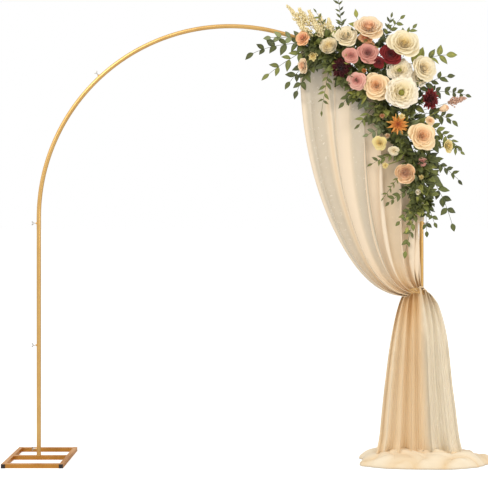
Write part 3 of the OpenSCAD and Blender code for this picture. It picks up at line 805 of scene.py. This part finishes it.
# How a bloom's petals go from the inner to the outer ones: first, last, and the power of the
# way between. Angles are from the bloom's axis; lengths are shares of its radius
ROSE = {
    "count": 32, "corner": 0.16, "blunt": 2.4, "foot": 0.30,
    "lean": (0.10, 1.32, 0.75), "open": (-0.05, 0.92, 1.0), "length": (0.55, 1.0, 1.0),
    "width": (0.30, 0.62, 1.0), "start": (0.015, 0.10, 1.0), "rise": (0.14, 0.0, 1.0),
    "roll": (0.01, 0.11, 1.0), "furl": (0.08, 0.25, 1.0), "ruffle": (0.004, 0.022, 1.0),
    "cup": (0.0, 0.10, 1.0),
}
GLOBE = {
    **ROSE, "open": (-0.15, 0.10, 1.0), "lean": (0.15, 1.45, 0.8), "length": (0.62, 1.12, 1.0),
    "roll": (0.0, 0.05, 1.0),
}
PEONY = {
    **ROSE, "count": 48, "lean": (0.25, 1.40, 0.6), "open": (0.30, 1.15, 0.9),
    "length": (0.52, 0.98, 0.8), "width": (0.24, 0.46, 0.8), "ruffle": (0.03, 0.06, 1.0),
    "start": (0.14, 0.12, 1.0), "roll": (0.01, 0.05, 1.0), "cup": (0.1, 0.35, 1.0),
    "blunt": 3.0, "corner": 0.12,
}
DAHLIA = {
    **ROSE, "count": 66, "corner": 0.62, "blunt": 1.0, "lean": (0.10, 1.50, 0.8),
    "open": (0.10, 1.35, 0.9), "length": (0.45, 1.0, 0.8), "width": (0.08, 0.17, 0.8),
    "cup": (0.5, 0.9, 1.0), "roll": (0.0, 0.02, 1.0), "ruffle": (0.0, 0.02, 1.0), "foot": 0.4,
}
FLUFFY = {
    **DAHLIA, "count": 90, "corner": 0.4, "blunt": 1.5, "ruffle": (0.02, 0.05, 1.0),
    "length": (0.55, 1.0, 0.6), "open": (0.15, 1.2, 0.8),
}
DAISY = {
    **DAHLIA, "count": 24, "width": (0.12, 0.30, 0.8), "corner": 0.25, "blunt": 1.6,
    "open": (0.3, 1.25, 0.8), "length": (0.35, 0.98, 0.7),
}
BUD = {
    **ROSE, "count": 10, "lean": (0.1, 0.55, 1.0), "open": (-0.05, -0.15, 1.0),
    "length": (1.35, 1.45, 1.0), "width": (0.5, 0.62, 1.0), "start": (0.08, 0.35, 1.0),
    "rise": (0.1, 0.0, 1.0), "roll": (0.0, 0.08, 1.0), "furl": (0.25, 0.3, 1.0),
}
SIZED = ("length", "width", "start", "rise", "roll", "furl", "ruffle")

# Each place is (angle along the arch, distance outside the tube, distance in front, turn to
# the right, tip upwards, radius), in degrees and millimetres, then the kind and the finish
BLOOMS = {
    "ivory_roses": ("silk_ivory", [
        ((59, 14, 76, -20, 20, 58), GLOBE, "ivory_gold"), ((57, 98, 66, 0, 30, 64), ROSE, "ivory"),
        ((44.6, 250, 84, 5, 22, 82), ROSE, "ivory_gold"), ((22.4, -82, 80, -10, -25, 28), ROSE, "ivory")]),
    "cream_peonies": ("silk_ivory", [
        ((36, 84, 98, 8, 4, 84), PEONY, "cream"), ((40.6, 150, 76, 0, 20, 64), PEONY, "cream"),
        ((36.5, 200, 66, 30, 10, 46), PEONY, "cream")]),
    "blush_roses": ("silk_blush", [
        ((53.3, 196, 76, 0, 36, 76), ROSE, "blush"), ((41.7, 14, 84, -10, 5, 72), ROSE, "peach"),
        ((52.5, 150, 70, 0, 40, 40), ROSE, "coral"),
        ((67.3, -3, 66, -30, 20, 42), ROSE, "coral"), ((63.4, -122, 76, -55, -5, 42), ROSE, "blush")]),
    "peach_roses": ("silk_peach", [
        ((23, 68, 84, 10, 5, 72), ROSE, "peach"), ((14.3, -64, 76, -10, -5, 62), GLOBE, "peach_pink"),
        ((37.6, 246, 76, 25, 10, 68), ROSE, "ivory")]),
    "dusty_pink_roses": ("silk_dusty_pink", [
        ((53, 38, 100, -10, 5, 42), ROSE, "dusty"), ((49.8, 96, 92, 5, 15, 56), ROSE, "dusty_red"),
        ((47, -36, 84, -10, -5, 48), ROSE, "pink"), ((16.4, 34, 72, 0, -20, 25), ROSE, "dusty")]),
    "burgundy_roses": ("silk_burgundy", [
        ((45.3, 172, 90, 0, 12, 54), ROSE, "burgundy"), ((46.2, 104, 100, 0, 0, 32), ROSE, "burgundy")]),
    "burgundy_dahlias": ("silk_burgundy", [
        ((53.2, -36, 70, -10, -5, 52), FLUFFY, "wine"), ((30.8, 190, 74, 35, 0, 56), FLUFFY, "burgundy")]),
    "orange_dahlia": ("silk_orange", [((29, -10, 86, 0, -5, 56), DAHLIA, "orange")]),
    "yellow_blooms": ("silk_butter", [
        ((26.4, -130, 74, -20, -5, 38), ROSE, "butter"), ((18.4, 176, 74, 45, -5, 36), ROSE, "butter"),
        ((62.6, -58, 70, -20, 0, 30), DAISY, "butter"), ((18.6, -150, 76, -20, -10, 18), DAISY, "butter")]),
    "flower_buds": ("silk_peach", [
        ((27, 216, 80, 60, 20, 30), BUD, "peach_pink"), ((47.4, 22, 92, 0, 0, 18), BUD, "orange"),
        ((33.3, -56, 84, -10, 10, 19), BUD, "coral"), ((27.2, -82, 82, -10, 5, 18), BUD, "peach"),
        ((25.8, 140, 84, 20, 10, 26), ROSE, "peach"), ((8.4, -16, 70, -10, -30, 20), BUD, "cream"),
        ((4.6, 7, 66, -5, -30, 17), BUD, "cream"), ((30.5, 25, 104, 5, 0, 17), DAISY, "butter"),
        ((50.5, 150, 84, 0, 20, 16), DAISY, "coral"), ((12, 10, 78, 5, -10, 15), DAISY, "butter")]),
}


def bloom_frame(place):
    """The bloom's foot, and the matrix whose columns are its right, its up and its facing."""
    along, out, fwd, turn, tip = place[:5]
    turn, tip = math.radians(turn), math.radians(tip)
    facing = np.array(
        [math.sin(turn) * math.cos(tip), -math.cos(turn) * math.cos(tip), math.sin(tip)]
    )
    right = np.array([math.cos(turn), math.sin(turn), 0.0])
    foot = arch_point(along, out / 1000, fwd / 1000)
    return foot, np.stack([right, np.cross(facing, right), facing], 1)


def stem_path(place):
    """From the core's surface to the bloom's foot, square to the core."""
    along, out, fwd = place[0], place[1] / 1000, place[2] / 1000
    run = np.array([out, fwd - CORE_FWD])
    near = run / np.linalg.norm(run) * CORE_R
    share = np.linspace(0, 1, 5)
    return arch_point(along, mix(near[0], out, share), CORE_FWD + mix(near[1], run[1], share))


def beads(middle, size):
    """Small closed balls, five-sided in three bands, one grid each."""
    t = np.linspace(0, math.pi, 4)[None, :, None]
    a = np.linspace(0, 2 * math.pi, 5, endpoint=False)[None, None, :]
    ball = np.stack([np.sin(t) * np.cos(a), np.sin(t) * np.sin(a), -np.cos(t) + 0 * a], -1)
    return middle[:, None, None] + size[:, None, None, None] * ball


def add_bloom(work, place, kind, finish, rng):
    """Petals, a green cup of sepals behind them, and a stem to the core.

    Flat and open blooms also have a boss: beads on a dome of turns by the golden angle.
    """
    radius = place[5] / 1000
    spec = {k: tuple(radius * x if i < 2 else x for i, x in enumerate(v)) if k in SIZED else v
            for k, v in kind.items()}
    q = np.linspace(0, 1, kind["count"])
    foot, matrix = bloom_frame(place)
    work.add(petals(q, spec, rng) @ matrix.T + foot, finish, heart=1 - q, shade=rng.uniform(0, 1, len(q)))
    cup = {**spec, "lean": (0.9, 0.9, 1), "open": (1.5, 1.5, 1), "length": (radius * 0.5, radius * 0.5, 1),
           "width": (radius * 0.12, radius * 0.12, 1), "corner": 0.5, "blunt": 1.2}
    sepals = petals(np.full(5, 1.0), cup, rng) - np.array([0, 0, radius * 0.06])
    work.add(sepals @ matrix.T + foot, 0, shade=0.3)
    if kind in (PEONY, DAISY):
        k = np.arange(30)
        wide, turn = 0.17 * radius * np.sqrt(k / 29), k * GOLDEN_ANGLE
        dome = np.stack([wide * np.cos(turn), wide * np.sin(turn), radius * 0.42 - wide], -1)
        work.add(beads(dome, np.full(30, radius * 0.045)) @ matrix.T + foot, 0, closed=True, shade=0.9)
    path = stem_path(place)
    work.add(tube(path, [0.0025] * len(path)), 0, closed=True, shade=0.3)


class ARCH_OT_blooms(bpy.types.Operator):
    """Builds the silk roses, peonies, dahlias and buds petal by petal"""

    bl_idname = "wedding_arch.blooms"
    bl_label = "Blooms"

    def execute(self, context):
        s = context.scene.arch_bloom
        green = leaf_finish("sepal_green", context.scene.arch_leaf.light)
        dyes = {
            "ivory": (s.ivory, (0.94, 0.83, 0.60), (1.0, 0.96, 0.88)),
            "ivory_gold": (s.ivory, (0.93, 0.80, 0.46), (1.0, 0.96, 0.86)),
            "cream": (tint(s.cream, 1.02, 1.0, 0.98), (0.96, 0.88, 0.66), (1.0, 0.97, 0.92)),
            "blush": (s.blush, (0.93, 0.62, 0.38), (0.99, 0.93, 0.84)),
            "coral": (tint(s.peach, 0.98, 0.86, 0.78), (0.87, 0.46, 0.28), (0.98, 0.84, 0.70)),
            "peach": (s.peach, (0.92, 0.62, 0.36), (1.0, 0.93, 0.78)),
            "peach_pink": (tint(s.peach, 1.0, 0.98, 1.0), (0.93, 0.64, 0.50), (1.0, 0.92, 0.76)),
            "pink": (tint(s.dusty, 1.06, 1.14, 1.14), (0.80, 0.42, 0.38), (0.98, 0.84, 0.78)),
            "dusty": (s.dusty, (0.74, 0.38, 0.34), (0.95, 0.77, 0.68)),
            "dusty_red": (s.dusty, (0.50, 0.14, 0.16), (0.93, 0.72, 0.64)),
            "burgundy": (s.burgundy, (0.26, 0.02, 0.04), (0.66, 0.20, 0.16)),
            "wine": (tint(s.burgundy, 0.62), (0.16, 0.02, 0.04), (0.42, 0.12, 0.12)),
            "orange": (s.orange, (0.82, 0.38, 0.14), (0.97, 0.76, 0.42)),
            "butter": (s.butter, (0.84, 0.66, 0.28), (0.98, 0.92, 0.70)),
        }
        finishes = {name: petal_finish("silk_" + name, *dye) for name, dye in dyes.items()}
        for seed, (node, (slot, places)) in enumerate(BLOOMS.items()):
            rng = np.random.default_rng(100 + seed)
            names = sorted({finish for _, _, finish in places})
            work = Patchwork()
            for place, kind, finish in places:
                add_bloom(work, place, kind, 1 + names.index(finish), rng)
            work.make(node + "_petals", [green, *[finishes[n] for n in names]], [node], slot, s.petal)
        return {"FINISHED"}


# Leaves


def leaf_finish(name, rgb):
    """Printed silk leaf: a pale midrib and side veins, and blotches that also vary its gloss."""
    f = Finish(name)
    across, along = f.part(f.place("UV"), 0), f.part(f.place("UV"), 1)
    off = abs(across - 0.5)
    rib = 1.0 - off.between(0.015, 0.06)
    side = f.node(
        "ShaderNodeTexWave",
        {"bands_direction": "Y", "wave_profile": "SAW"},
        {"Vector": f.node("ShaderNodeCombineXYZ", {}, {0: across, 1: along - off * 0.6, 2: 0.0}), "Scale": 2.6},
        "Fac",
    ).between(0.8, 1.0)
    blotch = f.noise(60.0, 3.0)
    body = f.mix(f.mark("shade"), tint(rgb, 0.70), tint(rgb, 1.22, 1.18, 1.10))
    body = f.mix(blotch.between(0.4, 0.75) * 0.35, body, tint(rgb, 1.40, 1.28, 1.0))
    return f.close(
        Base_Color=f.mix(rib * 0.45 + side * 0.18, body, tint(rgb, 1.55, 1.48, 1.3)),
        Roughness=0.48 + blotch * 0.2,
        Normal=f.bump(rib + side * 0.5, 0.0006, 0.5),
        Specular_IOR_Level=0.4,
    )


def blades(foot, forward, face, size, width, rng, blunt=0.8, rows=9, columns=5):
    """Leaf blades, one grid each, from foot along forward, their upper side towards face.

    Down a blade (t) the midline bends back by a droop that grows as t squared. The half width
    is a sine of t to a power below 1, so it is widest before the middle; across (s) the two
    halves fold up along the midrib.
    """
    n = len(foot)
    t = np.linspace(0, 1, rows)[None, :, None, None]
    s = np.linspace(-1, 1, columns)[None, None, :, None]
    forward = unit(forward)[:, None, None]
    face = face[:, None, None]
    side = unit(np.cross(forward, face))
    up = np.cross(side, forward)
    size, width = size.reshape(-1, 1, 1, 1), width.reshape(-1, 1, 1, 1)
    droop = rng.uniform(-0.05, 0.35, (n, 1, 1, 1))
    fold = rng.uniform(0.1, 0.5, (n, 1, 1, 1))
    half = width / 2 * np.maximum(np.sin(math.pi * t**blunt), 0.03)
    lift = fold * np.abs(s) * half - droop * t**2 * size
    return foot[:, None, None] + forward * size * t + side * s * half + up * lift


# Each spray is (angle along the arch, distance outside the tube, reach right, up and forward,
# sag, share of bare twig, pairs of leaves, leaf length, leaf width, finish), degrees and mm
SPRAYS = {
    "left_leaf_sprays": [
        (64.4, 2, -305, -52, 4, 40, 0.28, 5, 74, 40, 3), (63.8, -8, -230, -145, 12, 20, 0.3, 4, 72, 34, 0),
        (64.9, 12, -212, 16, 0, 10, 0.25, 4, 66, 36, 4), (62.0, -10, -150, -170, 20, 10, 0.3, 4, 72, 38, 3),
        (60.0, -20, -100, -120, 30, 0, 0.2, 4, 56, 26, 3)],
    "top_leaf_sprays": [
        (56, 62, -30, 240, 0, 0, 0.40, 7, 46, 16, 3), (50.4, 132, -64, 160, 0, 0, 0.4, 3, 74, 36, 1),
        (47.6, 140, 66, 190, 0, 0, 0.4, 6, 46, 18, 3), (58, 20, -90, 190, 20, 20, 0.5, 4, 40, 16, 0)],
    "right_leaf_sprays": [
        (33.4, 170, 240, -10, 0, 30, 0.30, 6, 50, 28, 3), (34.5, 180, 150, 60, 0, 20, 0.2, 4, 62, 34, 3),
        (41, 182, 226, 66, -10, 24, 0.4, 4, 84, 44, 1), (47, 168, 150, 124, -10, 0, 0.4, 5, 54, 28, 0),
        (49, 160, 120, 150, 0, 10, 0.4, 4, 50, 26, 0), (25, 130, 150, -110, 20, 20, 0.3, 5, 52, 28, 0),
        (18, 60, 170, -130, 20, 20, 0.3, 5, 52, 30, 3),
        (22, 100, 170, -70, 10, 20, 0.3, 5, 52, 26, 0), (28, 150, 130, -40, 20, 20, 0.3, 4, 58, 30, 3)],
    "hanging_vine": [
        (14, 36, 140, -276, 20, 90, 0.25, 6, 70, 42, 3), (15.5, 22, 50, -190, 20, 40, 0.2, 6, 50, 30, 3)],
    "trailing_leaves": [
        (6.6, -8, -76, -282, 20, 20, 0.2, 7, 54, 30, 0), (7, 17, 6, -190, 30, 20, 0.25, 5, 50, 30, 3),
        (7.6, 8, -120, -150, 24, 0, 0.25, 5, 50, 28, 0), (9, -10, -60, -200, 30, 20, 0.2, 6, 46, 24, 1), (10, -10, -150, -90, 30, 10, 0.3, 5, 48, 26, 3),
        (5.5, 10, 50, -120, 20, 20, 0.3, 4, 46, 26, 3)],
    "inner_leaf_sprays": [
        (57.4, -22, -50, -270, 30, 30, 0.20, 7, 50, 20, 0), (61.5, -12, -120, -210, 20, 20, 0.3, 5, 64, 36, 3),
        (20.5, -30, -170, -60, 30, 20, 0.3, 5, 50, 22, 0), (17.6, -18, -140, -190, 30, 0, 0.3, 7, 34, 12, 0),
        (46, -20, -90, -110, 30, 10, 0.3, 4, 60, 28, 3), (38, -20, -100, -120, 30, 10, 0.3, 4, 56, 22, 0),
        (30, -20, -130, -60, 30, 10, 0.3, 4, 54, 28, 4)],
}


def spray_line(s, t):
    """The twig of a spray: a cubic curve from in front of the core to its tip, sagging between."""
    root = arch_point(s[0], s[1] / 1000, 0.048)
    lift = np.array([0, -0.004, 0])
    tip = root + np.array([s[2], -s[4], s[3]]) / 1000
    middle = mix(root, tip, 0.6) + lift + np.array([0, 0, s[5] / 1000])
    return bezier(root, root + lift, middle, tip, t[:, None])


def add_spray(work, s, rng):
    """A twig from the core with pairs of leaves and one at its tip, getting smaller outwards."""
    lead = mix(core_point(s[0]), spray_line(s, np.zeros(1))[0], np.linspace(0, 0.9, 4)[:, None])
    fine = np.concatenate([lead, spray_line(s, np.linspace(0, 1, 20))])
    work.add(tube(fine, np.linspace(0.0016, 0.0008, len(fine)), 5), 2, closed=True, shade=0.4)
    bare, pairs = s[6:8]
    t = np.repeat(mix(bare, 1, np.arange(pairs) / pairs), 2)
    t = np.append(t + rng.uniform(-0.03, 0.03, len(t)), 1.0)
    side = np.append(np.tile([-1.0, 1.0], pairs), 0.0)[:, None]
    foot, ahead = spray_line(s, t), spray_line(s, t) - spray_line(s, t - 0.02)
    up = unit(np.array([0, -1.0, 0.25]) + rng.normal(0, 0.30, (len(t), 3)))
    lateral = unit(np.cross(unit(ahead), up)) * side
    spread = np.radians(rng.uniform(34, 64, len(t)))[:, None] * np.abs(side)
    forward = unit(ahead) * np.cos(spread) + lateral * np.sin(spread) + rng.normal(0, 0.12, (len(t), 3))
    forward[:, 1] = np.minimum(forward[:, 1], 0.03)  # no leaf leans back into the cloth
    shrink = (1 - 0.35 * t) * rng.uniform(0.85, 1.15, len(t))
    leaves = blades(foot, forward, up, s[8] / 1000 * shrink, s[9] / 1000 * shrink, rng)
    work.add(leaves, s[10], shade=rng.uniform(0, 1, len(t)))


def add_fill(work, rng, twigs, leaves, finish):
    """Short leafy twigs that fan out from the core and fill the swag between the blooms.

    Each is a cubic curve to a place inside the swag's reach, in front of the core; its leaves
    stand along the outer part and point onwards, to both sides and a little to the front.
    """
    steps = np.linspace(SWAG_TO, SWAG_FROM, 64)
    low, high = swag_reach(steps)
    share = np.cumsum(high - low)
    along = np.interp(share[-1] * (np.arange(twigs) + rng.uniform(0, 1, twigs)) / twigs, share, steps)
    low, high = swag_reach(along)
    out = mix(low, high, rng.permutation(twigs) / (twigs - 1))
    tip = arch_point(along + rng.uniform(-3, 3, twigs), out, rng.uniform(0.050, 0.080, twigs))
    root = core_point(along, rng.uniform(60, 120, twigs))
    rise = root + np.array([0, -0.012, 0])
    share = np.linspace(0, 1, 8)[None, :, None]
    paths = bezier(root[:, None], rise[:, None], mix(rise, tip, 0.6)[:, None], tip[:, None], share)
    for path in paths:
        work.add(tube(path, np.linspace(0.0013, 0.0007, 8), 4), 2, closed=True, shade=0.3)
    t = rng.uniform(0.40, 1, (twigs, leaves, 1))
    foot = bezier(root[:, None], rise[:, None], mix(rise, tip, 0.6)[:, None], tip[:, None], t)
    onwards = unit(tip - root)[:, None] + rng.normal(0, 0.75, foot.shape) + np.array([0, -0.25, -0.1])
    onwards[..., 1] = np.minimum(onwards[..., 1], 0.0)
    face = rng.normal(0, 0.45, foot.shape) + np.array([0, -1.0, 0.5])
    size = rng.uniform(0.040, 0.070, twigs * leaves)
    slim = rng.uniform(0.42, 0.62, twigs * leaves)
    green = blades(foot.reshape(-1, 3), onwards.reshape(-1, 3), unit(face.reshape(-1, 3)), size,
                   size * slim, rng, rows=7)
    work.add(green, finish, shade=rng.uniform(0, 1, len(green)))


class ARCH_OT_leaves(bpy.types.Operator):
    """Grows the leaf sprays on their twigs and the leafy twigs between the blooms"""

    bl_idname = "wedding_arch.leaves"
    bl_label = "Leaves"

    def execute(self, context):
        s = context.scene.arch_leaf
        finishes = [
            leaf_finish("leaf_olive", s.olive), leaf_finish("leaf_light", s.light),
            leaf_finish("twig_green", tint(s.olive, 0.8)), leaf_finish("leaf_dark", s.dark),
            leaf_finish("leaf_grey", s.grey),
        ]
        for seed, (node, sprays) in enumerate(SPRAYS.items()):
            rng = np.random.default_rng(300 + seed)
            work = Patchwork()
            for spray in sprays:
                add_spray(work, spray, rng)
            if node == "inner_leaf_sprays":
                for finish, twigs in ((3, 90), (0, 40), (1, 20), (4, 12)):
                    add_fill(work, rng, twigs, 6, finish)
            work.make(node + "_silk", finishes, [node], "silk_leaf", s.thickness)
        return {"FINISHED"}


# Plumes, core and hooks

# Each plume is (angle along the arch, distance outside the tube, distance in front, turn to
# the right, tip upwards, length of the bare stem, length of the plume, radius, finish)
PLUMES = [
    (63, 10, 48, -88, 51, 106, 150, 28, 1), (62.4, 14, 48, -88, 59, 100, 116, 30, 1),
    (61, 20, 48, -88, 65, 78, 120, 30, 1), (60, 28, 48, -86, 73, 60, 110, 28, 1),
    (59, 42, 48, -84, 80, 50, 90, 26, 1), (61.5, 6, 52, -80, 42, 60, 110, 28, 1),
    (60.5, 24, 56, -70, 58, 40, 90, 28, 1), (29, 150, 48, 86, 16, 120, 100, 26, 2),
]


def add_plume(work, place, rng):
    """A plume: a spike of short side twigs at the golden angle, each a row of small beads."""
    foot, matrix = bloom_frame(place)
    bare, tall, radius = [v / 1000 for v in place[5:8]]
    count, row = 40, 7
    q = np.linspace(0, 1, count)
    turn = np.arange(count) * GOLDEN_ANGLE
    reach = radius * (1 - 0.85 * q) * rng.uniform(0.75, 1.1, count)
    root = np.stack([0 * q, 0 * q, bare + tall * (0.02 + 0.90 * q)], -1)
    tip = root + np.stack([reach * np.cos(turn), reach * np.sin(turn), 0.9 * reach + 0.004], -1)
    share = np.linspace(0.15, 1, row)[None, :, None]
    middle = (root[:, None] + share * (tip - root)[:, None]).reshape(-1, 3)
    middle = middle + rng.normal(0, 0.0016, middle.shape)
    florets = beads(middle, rng.uniform(0.0028, 0.0052, len(middle))) @ matrix.T + foot
    work.add(florets, place[8], closed=True, shade=rng.uniform(0, 1, len(florets)))
    spike = np.stack([np.zeros(8), np.zeros(8), np.linspace(0, bare + tall, 8)], -1) @ matrix.T + foot
    stem = np.concatenate([mix(core_point(place[0]), foot, np.linspace(0, 0.9, 4)[:, None]), spike])
    work.add(tube(stem, np.linspace(0.0018, 0.0006, len(stem)), 5), 0, closed=True, shade=0.4)


class ARCH_OT_plumes(bpy.types.Operator):
    """Builds the astilbe plumes from many small florets"""

    bl_idname = "wedding_arch.plumes"
    bl_label = "Plumes"

    def execute(self, context):
        leaf = leaf_finish("plume_stem", context.scene.arch_leaf.olive)
        # The second colour of each plume finish shows only as painted shade on the side of each floret towards
        # the plume's foot, mostly its underside
        cream = petal_finish("plume_cream", (0.96, 0.89, 0.68), (0.86, 0.78, 0.48), (0.99, 0.94, 0.82))
        pink = petal_finish("plume_pink", (0.82, 0.64, 0.54), (0.58, 0.54, 0.34), (0.92, 0.78, 0.70))
        rng = np.random.default_rng(77)
        work = Patchwork()
        for place in PLUMES:
            add_plume(work, place, rng)
        work.make("astilbe_florets", [leaf, cream, pink], ["astilbe_plumes"], "silk_ivory")
        return {"FINISHED"}


def moss_finish(rgb):
    """Dyed moss: short fibres in three greens, with painted shade in the low gaps between the tufts."""
    f = Finish("moss")
    tuft, fibre = f.noise(90.0, 6.0, 0.7), f.noise(700.0, 4.0, 0.8)
    # Painted shade: the darkest green lies where the tufts are low
    body = f.mix(tuft.between(0.35, 0.65), tint(rgb, 0.55), tint(rgb, 1.25, 1.2, 0.95))
    return f.close(
        Base_Color=f.mix(fibre * 0.5, body, tint(rgb, 1.5, 1.45, 1.0)),
        Roughness=0.95,
        Normal=f.bump(tuft + fibre * 0.6, 0.004, 0.9),
    )


def mossy_core(rng):
    """The core: rings at even angles along the arch, closed at the ends, lumpy with moss."""
    rows, sides = 260, 20
    v = np.linspace(0, 1, rows)
    lumps = rng.uniform(0.90, 1.0, (rows, sides))
    lumps = (lumps + np.roll(lumps, 1, 0) + np.roll(lumps, 1, 1)) / 3
    ends = np.clip(1 - (2 * v - 1) ** 40, 0, 1) ** 0.5
    turn = np.linspace(0, 2 * math.pi, sides, endpoint=False)[None, :]
    radius = CORE_R * lumps * ends[:, None]
    along = mix(SWAG_TO, SWAG_FROM + 1, v)[:, None]
    work = Patchwork()
    work.add(
        arch_point(along, radius * np.cos(turn), CORE_FWD + radius * np.sin(turn))[None], closed=True
    )
    return work


class ARCH_OT_core(bpy.types.Operator):
    """Covers the swag's foam core with moss and finishes its wire hooks"""

    bl_idname = "wedding_arch.core"
    bl_label = "Core and Hooks"

    def execute(self, context):
        s = context.scene.arch_leaf
        core = mossy_core(np.random.default_rng(9))
        core.make("mossed_core", [moss_finish(s.moss)], ["swag_core"], "moss_foam")
        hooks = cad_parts["swag_hooks"]
        hooks.data.materials.clear()
        hooks.data.materials.append(leaf_finish("hook_wire", tint(s.dark, 0.8)))
        return {"FINISHED"}


# Stage


class ARCH_OT_stage(bpy.types.Operator):
    """Sets the camera, the plain pale floor and the soft lamps"""

    bl_idname = "wedding_arch.stage"
    bl_label = "Stage"

    def execute(self, context):
        s = context.scene.arch_stage
        eye = bpy.data.cameras.new("camera")
        eye.lens, eye.shift_x, eye.shift_y = s.lens, -0.0922, -0.0953
        camera = bpy.data.objects.new("camera", eye)
        camera.location = (s.eye_right, -s.eye_distance, s.eye_height)
        camera.rotation_euler = (math.radians(90), 0, 0)
        context.scene.collection.objects.link(camera)
        context.scene.camera = camera
        self.floor(context, s.floor_size / 2)
        self.sky(context, s.sky)
        middle = Vector((ARCH_R, 0, 1.1))
        self.lamp(context, "key", (-1.6, -3.4, 4.0), middle, 2.6, s.key_power)
        self.lamp(context, "fill", (4.2, -2.6, 2.2), middle, 2.4, s.fill_power)
        context.scene.view_settings.view_transform = "Standard"
        return {"FINISHED"}

    def floor(self, context, half):
        """A pale floor: it takes shadows, and a share of plain white keeps it pale."""
        mesh = bpy.data.meshes.new("floor")
        corners = [(-half, -half, 0), (half, -half, 0), (half, half, 0), (-half, half, 0)]
        mesh.from_pydata([(x + ARCH_R, y, -0.0006) for x, y, _ in corners], [], [(0, 1, 2, 3)])
        f = Finish("floor")
        matt = f.node("ShaderNodeBsdfDiffuse", {}, {"Color": (0.86, 0.86, 0.86, 1.0)})
        seen = f.node("ShaderNodeLightPath", {}, {}, "Is Camera Ray")
        glow = f.node("ShaderNodeEmission", {}, {"Color": (1, 1, 1, 1), "Strength": seen * 0.55})
        both = f.node("ShaderNodeAddShader", {}, {0: matt, 1: glow})
        f.node("ShaderNodeOutputMaterial", {}, {"Surface": both})
        mesh.materials.append(f.material)
        floor = bpy.data.objects.new("floor", mesh)
        context.scene.collection.objects.link(floor)

    def sky(self, context, strength):
        """Even light from all round; the camera, metal and cloth see plain white there."""
        world = bpy.data.worlds.new("sky")
        context.scene.world = world
        world.use_nodes = True
        tree = world.node_tree
        tree.nodes.clear()
        path = tree.nodes.new("ShaderNodeLightPath")
        seen = tree.nodes.new("ShaderNodeMath")
        seen.operation = "ADD"
        clear = tree.nodes.new("ShaderNodeMath")
        clear.operation, clear.use_clamp = "ADD", True
        tree.links.new(path.outputs["Is Camera Ray"], seen.inputs[0])
        tree.links.new(path.outputs["Is Glossy Ray"], seen.inputs[1])
        tree.links.new(seen.outputs[0], clear.inputs[0])
        tree.links.new(path.outputs["Is Transmission Ray"], clear.inputs[1])
        light, white = [tree.nodes.new("ShaderNodeBackground") for _ in range(2)]
        light.inputs["Strength"].default_value = strength
        white.inputs["Strength"].default_value = 1.0
        for background in (light, white):
            background.inputs["Color"].default_value = (1, 1, 1, 1)
        both = tree.nodes.new("ShaderNodeMixShader")
        tree.links.new(clear.outputs[0], both.inputs[0])
        tree.links.new(light.outputs[0], both.inputs[1])
        tree.links.new(white.outputs[0], both.inputs[2])
        out = tree.nodes.new("ShaderNodeOutputWorld")
        tree.links.new(both.outputs[0], out.inputs["Surface"])

    def lamp(self, context, name, place, target, size, power):
        data = bpy.data.lights.new(name, "AREA")
        data.size, data.energy = size, power
        lamp = bpy.data.objects.new(name, data)
        lamp.location = place
        lamp.rotation_euler = (target - Vector(place)).to_track_quat("-Z", "Y").to_euler()
        context.scene.collection.objects.link(lamp)


SETTINGS = {
    "arch_stage": ArchStageSettings,
    "arch_metal": ArchMetalSettings,
    "arch_cloth": ArchClothSettings,
    "arch_bloom": ArchBloomSettings,
    "arch_leaf": ArchLeafSettings,
}
OPERATORS = (
    ARCH_OT_stage, ARCH_OT_metal, ARCH_OT_drape, ARCH_OT_core, ARCH_OT_blooms, ARCH_OT_plumes,
    ARCH_OT_leaves,
)


class ARCH_PT_panel(bpy.types.Panel):
    """Lists the arch's settings and the steps that build it"""

    bl_label = "Wedding Arch"
    bl_idname = "ARCH_PT_panel"
    bl_space_type = "VIEW_3D"
    bl_region_type = "UI"
    bl_category = "Wedding Arch"

    def draw(self, context):
        for operator in OPERATORS:
            self.layout.operator(operator.bl_idname)
        for name, group in SETTINGS.items():
            box = self.layout.box()
            for setting in group.__annotations__:
                box.prop(getattr(context.scene, name), setting)


def register():
    for group in SETTINGS.values():
        bpy.utils.register_class(group)
    for operator in OPERATORS:
        bpy.utils.register_class(operator)
    bpy.utils.register_class(ARCH_PT_panel)
    for name, group in SETTINGS.items():
        setattr(bpy.types.Scene, name, PointerProperty(type=group))


def unregister():
    for name in SETTINGS:
        delattr(bpy.types.Scene, name)
    bpy.utils.unregister_class(ARCH_PT_panel)
    for part in (*reversed(OPERATORS), *reversed(list(SETTINGS.values()))):
        bpy.utils.unregister_class(part)


def main():
    register()
    for operator in OPERATORS:
        group, name = operator.bl_idname.split(".")
        getattr(getattr(bpy.ops, group), name)()


if __name__ == "__main__":
    main()
